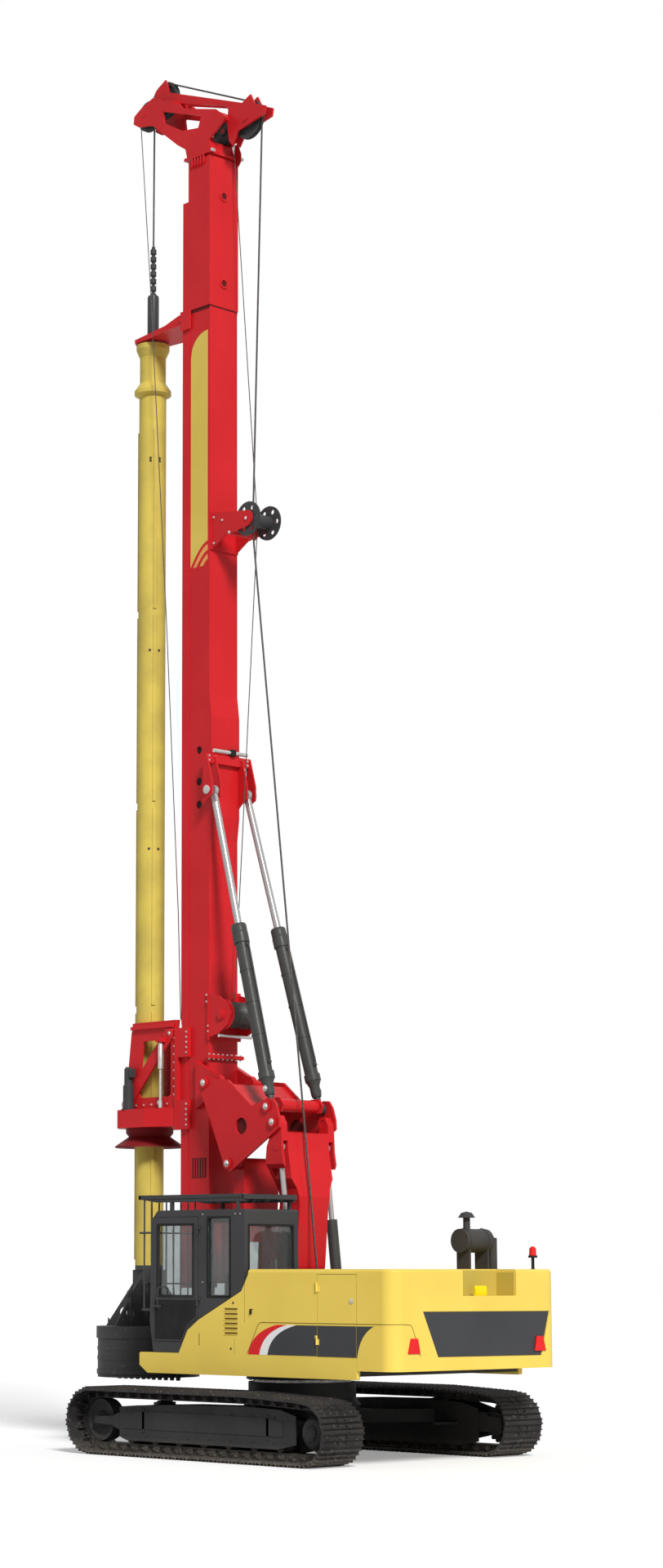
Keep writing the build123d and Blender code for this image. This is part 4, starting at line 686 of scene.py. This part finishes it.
def window_seal(low, high, width, lift):
    """Frame round an upright window between two corners: its edge and the edge moved inwards, as one closed strip."""
    edge = np.array([low, (*high[:2], low[2]), high, (*low[:2], high[2]), low], float)
    middle = (edge[0] + edge[2]) / 2
    reach = np.abs(edge - middle).max(axis=0)
    reach[reach == 0] = 1
    inner = middle + (edge - middle) * (1 - width / reach)
    return thick(np.stack([edge, inner]), lift)


door_seal = window_seal((0.465, CAB_Y + 0.003, 2.01), (1.18, CAB_Y + 0.003, 2.95), 0.03, (0, 0.008, 0))
piece("door_window_seal", door_seal, rubber, "cab_door")
lower_panel = [(0.7, 1.475), (1.215, 1.475), (1.215, 1.975), (0.425, 1.975), (0.425, 1.775), (0.61, 1.65)]
piece("door_lower_panel", slab(lower_panel, CAB_Y + 0.004, CAB_Y + 0.009), rubber, "cab_door", bevel=0.002)
cab_seals = [window_seal((-0.224, CAB_Y - 0.002, 2.008), (0.224, CAB_Y - 0.002, 3.032), 0.026, (0, 0.007, 0)),
             window_seal((-0.478, 0.606, 2.298), (-0.478, 1.418, 2.932), 0.026, (-0.007, 0, 0)),
             window_seal((-0.332, 0.532, 2.008), (1.132, 0.532, 3.002), 0.026, (0, -0.007, 0))]
piece("cab_window_seals", cab_seals, rubber, "upper")
grip = [(1.1, CAB_Y + out, z) for out, z in ((0.034, 1.86), (0.06, 1.88), (0.064, 2.0), (0.06, 2.12), (0.004, 2.14))]
piece("door_grab_handle", tube(grip, 0.009), cab_paint, "cab_door")

# %% Guard bars, roof guard, wiper and screws of the cab
rails = [tube([(1.47, 0.54, z), (1.47, 1.47, z)], 0.011) for z in (2.18, 2.835)]
rails.append(tube([(1.29, 1.475, 2.835), (1.52, 1.478, 2.835)], 0.014))
piece("guard_cross_bars", rails, cab_paint, "upper")
beam = [(-0.45, 3.215), (1.22, 3.225), (1.47, 3.262), (1.565, 3.266), (1.565, 3.322), (-0.45, 3.312)]
roof_guard = [slab(beam, y, y + 0.05) for y in (0.54, 1.42)]
roof_guard += [bar((x, x + 0.045), (0.54, 1.47), (z, z + 0.055)) for x, z in ((-0.47, 3.245), (1.52, 3.265))]
roof_guard += [bar((x, x + 0.02), (0.58, 1.43), (3.27, 3.3)) for x in np.arange(-0.36, 1.5, 0.13)]
piece("roof_guard_beams", roof_guard, cab_paint, "upper", bevel=0.004)
wiper = [tube([(1.315, 1.02, 1.73), (1.335, 1.02, 1.78), (1.33, 1.05, 2.15), (1.322, 1.08, 2.52)], 0.006),
         tube([(1.318, 1.07, 2.1), (1.316, 1.08, 2.52), (1.312, 1.09, 2.88)], 0.005)]
piece("windscreen_wiper", wiper, rubber, "upper")
screws = [(x, CAB_Y - 0.001, z) for x, z in ((-0.4, 3.06), (-0.31, 3.06), (0.3, 3.06), (0.3, 2.2))]
piece("cab_screws", copies(BOLT, screws, LEFT, 0.008), zinc, "upper")

# %% Padded seat, armrests, levers and the screen
cloth = finish("charcoal seat cloth", (0.03, 0.031, 0.034), (0.045, 0.046, 0.05), patch=5.0, rough=(0.82, 0.95),
               grain=900.0, peel=0.6)
PAD_SIDES, PAD_ROWS = 48, 25


def cushion(low, high, thin, channels, name):
    """Sewn pad: a superellipsoid between two corners, with sin and cos to the power 0.4, thinner at its channels.

    thin is the axis along which it is padded, channels are the places of the sewn lines along its second axis.
    """
    low, high = np.array(low, float), np.array(high, float)
    around, up = np.meshgrid(circle(PAD_SIDES), np.linspace(-pi / 2, pi / 2, PAD_ROWS))
    level = squarer(np.cos(up), 0.4)
    block = points(level * squarer(np.cos(around), 0.4), level * squarer(np.sin(around), 0.4), squarer(np.sin(up), 0.4))
    body = np.empty_like(block)
    body[..., [axis for axis in range(3) if axis != thin] + [thin]] = block
    sewn = sum(np.exp(-((block[..., 1] - place) / 0.07) ** 2) for place in channels)
    body[..., thin] *= 1 - 0.22 * sewn
    places = (low + high) / 2 + body * (high - low) / 2
    thing = piece(name, (places.reshape(-1, 3), grid_faces(PAD_ROWS, PAD_SIDES, ring=True)), cloth, "upper")
    smooth = thing.modifiers.new("soft", "SUBSURF")
    smooth.levels = smooth.render_levels = 1
    return thing


seat_pads = [cushion((0.15, 0.805, 1.64), (0.615, 1.225, 1.8), 2, (-0.5, 0.5), "seat_cushion"),
             cushion((0.065, 0.81, 1.76), (0.195, 1.22, 2.345), 0, (-0.5, 0.5), "seat_back"),
             cushion((0.2, 0.692, 1.9), (0.56, 0.788, 1.975), 2, (), "armrest_right"),
             cushion((0.2, 1.242, 1.9), (0.56, 1.338, 1.975), 2, (), "armrest_left")]
seat_base = [bar((0.2, 0.58), (0.83, 1.2), (1.362, 1.42)), bar((0.26, 0.52), (0.88, 1.15), (1.42, 1.66)),
             bar((0.14, 0.63), (0.7, 0.78), (1.46, 1.905)), bar((0.14, 0.63), (1.25, 1.33), (1.46, 1.905)),
             bar((0.2, 0.56), (0.77, 1.26), (1.46, 1.52))]
base = piece("seat_base", seat_base, cab_paint, "upper", bevel=0.012)
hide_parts("cab_seat")
for pad in seat_pads:
    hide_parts("cab_seat")
gaiter = lathe([(0, 0), (0.03, 0), (0.024, 0.012), (0.026, 0.02), (0.02, 0.032), (0.008, 0.045), (0.008, 0.13),
                (0.018, 0.14), (0.021, 0.17), (0.014, 0.195), (0, 0.2)], sides=18)
piece("control_levers", copies(gaiter, [(0.58, y, 1.93) for y in (0.74, 1.29)], (0.15, 0, 1)), rubber, "upper")
screen = [bar((1.00, 1.03), (0.62, 0.84), (2.05, 2.22)),
          tube([(1.03, 0.73, 2.05), (1.06, 0.73, 1.8), (1.1, 0.73, 1.4)], 0.012)]
piece("cab_screen", screen, rubber, "upper", bevel=0.004)

# %% [markdown]
# Ropes and windings
#
# The main rope leaves the winch in the house, runs up to the guide spool on the back of the mast, on to the head's
# two sheaves and down to the kelly's swivel. The auxiliary rope leaves the winch on the mast, passes the other side
# of the guide spool and hangs down to the rotary drive. A rope on a sheave follows an arc between the two points
# where the straight runs touch it. Wound rope on a drum is a lathe whose profile is one scallop for each turn.

# %% Runs of wire rope
MAIN_ROPE, AUX_ROPE = 0.013, 0.0065


def rope_arc(centre, radius, start, end, y):
    """Points on a sheave from one angle to another, in degrees: (x + r cos a, y, z + r sin a)."""
    turn = np.radians(np.linspace(start, end, 11))
    return points(centre[0] + radius * np.cos(turn), y, centre[1] + radius * np.sin(turn))


def run(*corners, share=10):
    """Straight runs between corners, each cut into equal steps."""
    ends = np.array(corners, float)
    steps = np.linspace(0, 1, share, endpoint=False)[:, None]
    legs = [start + (end - start) * steps for start, end in zip(ends[:-1], ends[1:])]
    return np.concatenate(legs + [ends[-1:]])


def rope(name, path, radius, body):
    """Steel rope drawn tight along a path."""
    return piece(name, tube(path, radius, sides=8), rope_steel, body)


HEAD_REAR, HEAD_FRONT, HEAD_R, HEAD_TURN = (0.96, 18.45), (2.74, 19.27), 0.255, 114.7
winch_end, spool_end, SWIVEL = (-0.455, 0.15, 2.2), (0.905, 0, 12.6), (3.009, 0, 17.08)
main_mast = np.concatenate([[spool_end, (0.705, 0, 18.45)], rope_arc(HEAD_REAR, HEAD_R, 180, HEAD_TURN, 0),
                            rope_arc(HEAD_FRONT, HEAD_R, HEAD_TURN, 0, 0)])
rope("main_rope_mast", main_mast, MAIN_ROPE, "mast")
main_low = run(winch_end, (0.885, 0.003, 12.27), spool_end, share=40)
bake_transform(rope("main_rope_winch", main_low, MAIN_ROPE, None))
kelly_top = (HEAD_FRONT[0] + HEAD_R, 0, HEAD_FRONT[1])
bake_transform(rope("main_rope_kelly", run(kelly_top, SWIVEL), MAIN_ROPE, None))

AUX_REAR, AUX_FRONT, AUX_TURN = (1.62, 18.5), (2.96, 19.06), 112.7
drive_end = (2.06, 0.28, 5.68)
aux_mast = np.concatenate([[(1.405, -0.1, 5.76), (0.93, -0.11, 12.57), (1.442, -0.12, 18.5)],
                           rope_arc(AUX_REAR, 0.178, 180, AUX_TURN, -0.12),
                           rope_arc(AUX_FRONT, 0.208, AUX_TURN, 0, 0.12)])
rope("aux_rope_mast", aux_mast, AUX_ROPE, "mast")
aux_low = run((3.168, 0.12, 19.06), (2.834, 0.215, 16.46), (2.744, 0.235, 15.57), (2.4, 0.26, 11.3),
              (2.118, 0.28, 7.22), drive_end, share=3)
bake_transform(rope("aux_rope_drive", aux_low, AUX_ROPE, None))
socket = lathe([(0, -0.05), (0.03, -0.05), (0.034, 0.0), (0.016, 0.09), (0.009, 0.14), (0, 0.14)], sides=16)
piece("aux_rope_socket", copies(socket, (2.06, 0.28, 5.6), (0.03, 0, 1)), zinc, "rotary_drive")

# %% Wound rope on the two drums


def winding(radius, half, rope_radius, count):
    """Scalloped lathe: over each turn of the rope the radius rises by |sin| of the way along the drum."""
    way = np.linspace(0, 1, count * 6 + 1)
    bulge = radius + rope_radius * np.abs(np.sin(way * count * pi)) * 1.2
    profile = [(radius * 0.9, -half)] + list(zip(bulge, -half + way * 2 * half)) + [(radius * 0.9, half)]
    return lathe(profile, sides=40)


for name, drum, place, body in (("aux_winch_rope", (0.17, 0.232, AUX_ROPE, 26), (1.23, 0, 5.76), "mast"),
                                ("main_winch_rope", (0.206, 0.216, MAIN_ROPE, 16), (-0.64, 0, 1.76), "upper")):
    piece(name, copies(winding(*drum), place, LEFT), rope_steel, body)

# %% [markdown]
# Mast: gold films, flanges, ports and lugs
#
# A gold film runs up each side of the mast. Its top edge is a quarter of an ellipse and its foot is cut by curved
# gaps, each a power curve from the mast's back edge down to the front. Where a name stood, the film is left plain.

# %% Gold films on the mast's sides
FILM_X = (1.545, 1.895)
FILM_FOOT, FILM_HEAD = 12.04, 15.09
MAST_Y = 0.265


def film_row(width, z):
    """Points from the mast's back edge forwards over a share of the film's width, at their heights."""
    return points(FILM_X[0] + (FILM_X[1] - FILM_X[0]) * width * STEPS, MAST_Y, z)


def curve(width, height, power):
    """Edge that falls as it runs forwards: z = foot + height (1 - t^power)."""
    return film_row(width, FILM_FOOT + height * (1 - STEPS ** power))


film_top = film_row(1, FILM_HEAD + 0.35 * np.sqrt(1 - STEPS ** 2))
golds = {"mast_film": ([curve(1, 0.335, 1.6) + (0, 0, 0.01), film_top], stripe_gold),
         "mast_film_band": ([curve(0.84, 0.29, 1.6), curve(0.67, 0.21, 1.5)], stripe_amber),
         "mast_film_foot": ([curve(0.47, 0.15, 1.5), curve(0.27, 0.08, 1.4)], stripe_amber)}
for name, (rows, film) in golds.items():
    places, faces = thick(np.stack(rows), (0, 0.002, 0))
    for side, hand in HANDS[::-1]:
        piece(name + "_" + hand, (places * (1, side, 1), faces), film, "mast")

# %% Bolts, winch hub, wrap, ports, lugs and pins of the mast
flange_bolts = [copies(BOLT, [(1.475, y, z) for y in np.linspace(-0.289, 0.289, 8)], (0, 0, way), 0.014)
                for z, way in ((5.232, 1), (5.178, -1))]
piece("mast_flange_bolts", flange_bolts, zinc, "mast")
winch_bolts = [(x, 0.292, z) for x, z in ((1.49, 5.545), (1.49, 5.62), (1.52, 5.95), (1.52, 6.04))]
piece("aux_winch_bolts", outwards(BOLT, winch_bolts, 0.013), zinc, "mast")
hub = lathe([(0, 0), (0.085, 0), (0.085, 0.012), (0.065, 0.016), (0.065, 0.03), (0.03, 0.036), (0, 0.036)], sides=28)
winch_hub = [copies(hub, (1.23, 0.292, 5.76), LEFT),
             copies(BOLT, ring_of(8, 0.075, (1.23, 0.303, 5.76), [0, 2]), LEFT, 0.008)]
piece("aux_winch_hub", winch_hub, mast_paint, "mast")
piece("aux_winch_tie", copies(disc(0.022, -0.3, 0.3, 16), (1.273, 0, 5.474), LEFT), zinc, "mast")

WRAP_X, WRAP_Y, WRAP_Z = (1.499, 1.945), 0.277, (15.805, 18.02)
wrap = [bar((WRAP_X[0], 1.523), (-WRAP_Y, WRAP_Y), WRAP_Z), bars((1.523, WRAP_X[1]), (0.267, WRAP_Y), WRAP_Z)]
piece("mast_upper_wrap", wrap, mast_paint, "mast")
# A dark band just under the wrap: painted shadow that the upper section's lower edge casts on the lower section.
joint_shadow_band = [bar((1.504, 1.507), (-0.268, 0.268), (15.785, WRAP_Z[0])),
              bars((1.504, 1.9), (0.265, 0.268), (15.755, WRAP_Z[0]))]
piece("mast_joint_shadow_band", joint_shadow_band, joint_shadow, "mast")
port_rim = lathe([(0.048, 0), (0.078, 0), (0.078, 0.012), (0.07, 0.016), (0.048, 0.012), (0.048, 0)], sides=28)
ports = [(WRAP_X[0], 0.005, z) for z in (17.46, 16.165)]
piece("mast_port_rims", copies(port_rim, ports, (-1, 0, 0)), mast_paint, "mast")
# Dark discs inside the rims: painted shade of the open ports.
piece("mast_port_shades", copies(disc(0.049, 0.0005, 0.003, 28), ports, (-1, 0, 0)), joint_shadow, "mast")
lug = slab([(1.41, 18.03), (1.45, 17.98), (1.53, 17.92), (1.53, 18.3), (1.47, 18.3), (1.41, 18.14)], -0.262, -0.238)
gussets = [plates([(x, 17.94), (x + 0.025, 17.9), (x + 0.025, 18.05), (x, 18.05)], WRAP_Y, WRAP_Y + 0.025)
           for x in np.arange(1.6, 1.9, 0.06)]
piece("mast_rear_lug", [lug] + gussets, mast_paint, "mast", bevel=0.003)
pin = lathe([(0, 0), (0.026, 0), (0.026, 0.05), (0.02, 0.056), (0, 0.056)], sides=18)
white_pins = [copies(pin, (1.45, 0.232, 18.08), LEFT), copies(pin, (1.44, -0.262, 18.075), (0, -1, 0))]
piece("mast_white_pins", white_pins, zinc, "mast")
# Black discs in the three holes on the mast's left side: painted shade inside the holes.
piece("mast_hole_painted_shade", copies(disc(0.0545, 0, 0.012), [(1.715, 0.2352, z) for z in (9.44, 9.00, 8.68)], LEFT),
      rubber, "mast")
# A black film behind the grille's red ribs: painted shade of the opening.
piece("mast_grille_painted_shade", bar((1.56, 1.86), (MAST_Y - 0.001, MAST_Y + 0.001), (3.58, 3.85)), rubber, "mast")
ribs = [bar((x, x + 0.018), (MAST_Y, MAST_Y + 0.008), (3.585, 3.845)) for x in np.arange(1.585, 1.85, 0.05)]
piece("mast_grille_ribs", ribs, mast_paint, "mast", bevel=0.002)

# %% [markdown]
# Linkage: pin heads and cylinder fittings
#
# Every pivot pin ends in a bright domed head over a round keeper plate. One turned profile gives the head, and it is
# copied to each end of each pin. The cylinders carry a pipe from the port at the foot to the one at the head, and
# the mast cylinders have a narrow boot at the foot and a long gland at the head.

# %% Heads and keepers at the ends of the pivot pins
PIN_HEAD = lathe([(0, 0), (0.8, 0), (0.8, 0.18)]
                 + [(0.62 * cos(turn), 0.18 + 0.34 * sin(turn)) for turn in np.linspace(0, pi / 2, 6)], sides=28)
KEEPER = lathe([(0, 0), (1.3, 0), (1.36, 0.05), (1.36, 0.11), (1.3, 0.16), (0, 0.16)], sides=32)


def pin_ends(name, places, y, radius, body):
    """Keeper plates and domed heads on both ends of pins along Y, at places in X and Z."""
    for shape, material, kind in ((KEEPER, mast_paint, "_keepers"), (PIN_HEAD, zinc, "_heads")):
        piece(name + kind, outwards(shape, [(x, y, z) for x, z in places], radius), material, body)


pin_ends("linkage_pin", [(1.307, 4.833), (-0.019, 4.263), (0.093, 4.467), (0.838, 3.746)], 0.557, 0.055, "delta")
# Dark discs inside the delta frame's big holes: painted shade seen through them.
hole_shades = [(0.594, side * 0.494, 4.23) for side in BOTH_SIDES]
piece("delta_hole_shades", copies(disc(0.118, -0.004, 0.004), hole_shades, LEFT), joint_shadow, "delta")

# %% Pipes, ports, clamps, boots and glands of the cylinders
MAST_CYL = np.array([(0.093, 0.437, 4.467), (1.37, 0.312, 8.83)])     # foot and rod eye on the left
LIFT_CYL = np.array([(-0.33, 0.415, 1.48), (-0.034, 0.415, 3.94)])
BACKWARDS = np.array([-0.958, 0, 0.285])
PIPE_SHARES = (0.13, 0.495)
CLAMP_SHARES = (0.22, 0.32, 0.42)
FOOT_PIN_SHARE, GLAND_SHARE = 0.055, 0.535


def cylinder_pipe(line, shares, radius, away):
    """Pipe beside a barrel: its path follows the cylinder's line at a distance and bends in at both ends."""
    start, end = line
    out = np.array(away, float) / np.linalg.norm(away)
    stations = [(shares[0], 0.9), (shares[0], 1.25), (shares[0] + 0.012, 1.36), (shares[1] - 0.012, 1.36),
                (shares[1], 1.25), (shares[1], 0.9)]
    return [start + (end - start) * share + out * radius * reach for share, reach in stations]


port = lathe([(0, 0), (0.03, 0), (0.03, 0.03), (0.02, 0.04), (0, 0.04)], sides=6)
gland = lathe([(0.052, 0), (0.1, 0), (0.104, 0.02), (0.104, 0.115), (0.094, 0.135), (0.062, 0.14), (0.052, 0.14)],
              sides=40)
boot = lathe([(0.045, 0.16), (0.06, 0.16), (0.07, 0.2), (0.07, 0.31), (0.09, 0.36), (0.104, 0.39), (0.045, 0.39)],
             sides=36)
for side, hand in HANDS[::-1]:
    line = MAST_CYL * (1, side, 1)
    foot, along = line[0], line[1] - line[0]
    ports = [foot + along * share + BACKWARDS * 0.085 for share in PIPE_SHARES]
    clamps = [foot + along * share for share in CLAMP_SHARES]
    foot_pin = foot + along * FOOT_PIN_SHARE + (0, side * 0.066, 0)
    for kind, shape, material in (
            ("pipe", [tube(cylinder_pipe(line, PIPE_SHARES, 0.092, BACKWARDS), 0.011),
                      copies(port, ports, BACKWARDS)], barrel_paint),
            ("clamps", copies(hoop(0.093, 0.099, -0.012, 0.012, 36), clamps, along), barrel_paint),
            ("gland", copies(gland, foot + along * GLAND_SHARE, along), barrel_paint),
            ("foot", copies(boot, foot, along), barrel_paint),
            ("foot_pin", copies(PIN_HEAD, foot_pin, (0, side, 0), 0.05), zinc)):
        piece("mast_cylinder_" + kind + "_" + hand, shape, material, "mast_barrel_" + hand)
lift_pipes = [tube(cylinder_pipe(LIFT_CYL * (1, side, 1), (0.1, 0.58), 0.07, (0.99, 0, -0.12)), 0.009)
              for side in BOTH_SIDES]
piece("lift_cylinder_pipes", lift_pipes, barrel_paint, "lift_barrels")

# %% Bright cross pin and keepers at the rod eyes
eye_cap = lathe([(0, 0), (0.062, 0), (0.062, 0.012), (0.05, 0.02), (0, 0.02)], sides=28)
piece("rod_eye_keepers", outwards(eye_cap, [(1.37, 0.436, 8.83)]), zinc, "mast")
piece("bracket_cross_pin", copies(disc(0.028, -0.31, 0.31, 20), (1.395, -0.03, 9.395), LEFT), zinc, "mast")
piece("bracket_hub", bar((1.36, 1.43), (-0.11, -0.02), (9.352, 9.44)), rubber, "mast", bevel=0.004)
bracket_bolts = [(1.406, y, z) for y in (-0.36, -0.25, 0.25, 0.36) for z in (9.255, 9.315)]
piece("bracket_bolts", copies(BOLT, bracket_bolts, (-1, 0, 0), 0.013), zinc, "mast")
spool_bolts = [(x, 0.241, z) for x, z in ((1.44, 12.33), (1.44, 12.7), (1.27, 12.63))]
piece("spool_bracket_bolts", outwards(BOLT, spool_bolts, 0.014), zinc, "mast")
pin_ends("guide_spool_pin", [(0.796, 12.57), (1.13, 12.43)], 0.241, 0.03, "mast")

# %% [markdown]
# Rotary drive, kelly and bucket
#
# The carriage carries bolted wear pads, the gearbox is closed with a ring of bolts, and each motor has a valve
# block. The kelly shows dark marks where its lock recesses are, and the bucket carries the lever and the rod that
# open its floor.

# %% Bolts and ports of the rotary drive
GEARBOX_TOP, KELLY_X, MOTOR_Y, ARM_Y = 4.54, 3.009, 0.396, 0.311
motors = [(KELLY_X, side * MOTOR_Y, GEARBOX_TOP) for side in BOTH_SIDES]
lid_bolts = copies(BOLT, ring_of(24, 0.3, (KELLY_X, 0, GEARBOX_TOP), [0, 1]), UP, 0.012)
motor_bolts = [copies(BOLT, ring_of(10, 0.086, motor, [0, 1]), UP, 0.009) for motor in motors]
piece("gearbox_bolts", [lid_bolts] + motor_bolts, zinc, "rotary_drive")
piece("motor_flanges", copies(hoop(0.076, 0.098, 0, 0.016), motors, UP), cab_paint, "rotary_drive")
piece("motor_valve_blocks", bars((KELLY_X - 0.1, KELLY_X - 0.058), (MOTOR_Y - 0.05, MOTOR_Y + 0.05), (4.98, 5.1)),
      cab_paint, "rotary_drive", bevel=0.005)
arm_bolts = [(2.155, 0.31, z) for z in np.arange(4.72, 5.6, 0.11)]
arm_bolts += [(x, 0.31, 4.6) for x in np.arange(2.3, 3.1, 0.16)]
piece("drive_arm_bolts", outwards(BOLT, arm_bolts, 0.013), zinc, "rotary_drive")
pad_bolts = [(1.886, 0.333, low + rise) for low in (4.3, 5.28) for rise in 0.07 * np.arange(5)]
piece("wear_pad_bolts", outwards(BOLT, pad_bolts, 0.012), zinc, "rotary_drive")
piece("gearbox_seal_ring", copies(hoop(0.266, 0.276, 0, 0.03, 48), (KELLY_X, 0, 4.585), UP), rubber, "rotary_drive")

# %% Struts, damper columns and cross beams of the drive
strut = [(2.17, 5.5), (2.17, 5.62), (2.3, 5.62), (3.2, 4.66), (3.2, 4.55), (3.08, 4.55)]
struts = [plates(strut, ARM_Y, 0.345), bars((2.16, 3.03), (ARM_Y - 0.001, 0.35), (5.64, 5.69))]
piece("drive_struts", struts, mast_paint, "rotary_drive", bevel=0.006)
column = lathe([(0, 0), (0.03, 0), (0.03, 0.1), (0.02, 0.11), (0.02, 0.52), (0.036, 0.53), (0.036, 0.86),
                (0.024, 0.9), (0, 0.9)], sides=20)
piece("drive_dampers", copies(column, [(2.36, side * 0.38, 4.545) for side in BOTH_SIDES], UP), zinc, "rotary_drive")
piece("damper_brackets", bars((2.3, 2.42), (ARM_Y, 0.43), (5.44, 5.5)), mast_paint, "rotary_drive", bevel=0.004)
pin_ends("drive_pin", [(2.44, 4.62), (3.16, 4.62), (2.22, 5.56)], 0.345, 0.032, "rotary_drive")

# %% Lock recesses and head of the kelly
marks = [(radians(angle), z) for z in (13.87, 13.83, 11.05, 8.2) for angle in (10, 50, 130, 170, 250, 290)]
mark_out = np.array([(cos(angle), sin(angle), 0) for angle, z in marks])
mark_places = mark_out * 0.195 + [(KELLY_X, 0, z) for angle, z in marks]
piece("kelly_notches", copies(disc(0.02, -0.001, 0.001, 12), mark_places, mark_out), tool_paint, "kelly")
sleeve = lathe([(0.064, 15.78), (0.084, 15.78), (0.084, 16.32), (0.076, 16.35), (0.064, 16.35)], sides=32)
piece("swivel_sleeve", copies(sleeve, (KELLY_X, 0, 0), UP), cab_paint, "kelly")
piece("kelly_flange_bolts", copies(BOLT, ring_of(16, 0.235, (KELLY_X, 0, 14.905), [0, 1]), UP, 0.012), zinc, "kelly")
piece("kelly_guide_bolts", outwards(BOLT, [(2.1, 0.231, z) for z in (15.68, 15.76)], 0.013), zinc, "kelly_guide")

# %% Lever, latch rod and wear bands of the bucket
BUCKET_R = 0.7
lever = [slab([(2.93, 1.6), (3.03, 1.6), (3.015, 2.08), (2.945, 2.08)], 0.355, 0.395),
         tube([(2.98, 0.33, 2.02), (2.98, 0.42, 2.02)], 0.022)]
piece("bucket_lever", lever, tool_paint, "kelly", bevel=0.003)
latch_rod = [tube([(KELLY_X + 0.745, 0.09, z) for z in (1.7, 1.04)], 0.012)]
latch_rod += [bar((KELLY_X + 0.69, KELLY_X + 0.775), (0.06, 0.12), (z, z + 0.035)) for z in (1.14, 1.4)]
piece("bucket_latch_rod", latch_rod, tool_paint, "kelly")
wear_bands = copies(hoop(BUCKET_R, BUCKET_R + 0.007, 0, 0.05, 64), [(KELLY_X, 0, z) for z in (1.15, 1.28)], UP)
piece("bucket_wear_bands", wear_bands, tool_paint, "kelly")
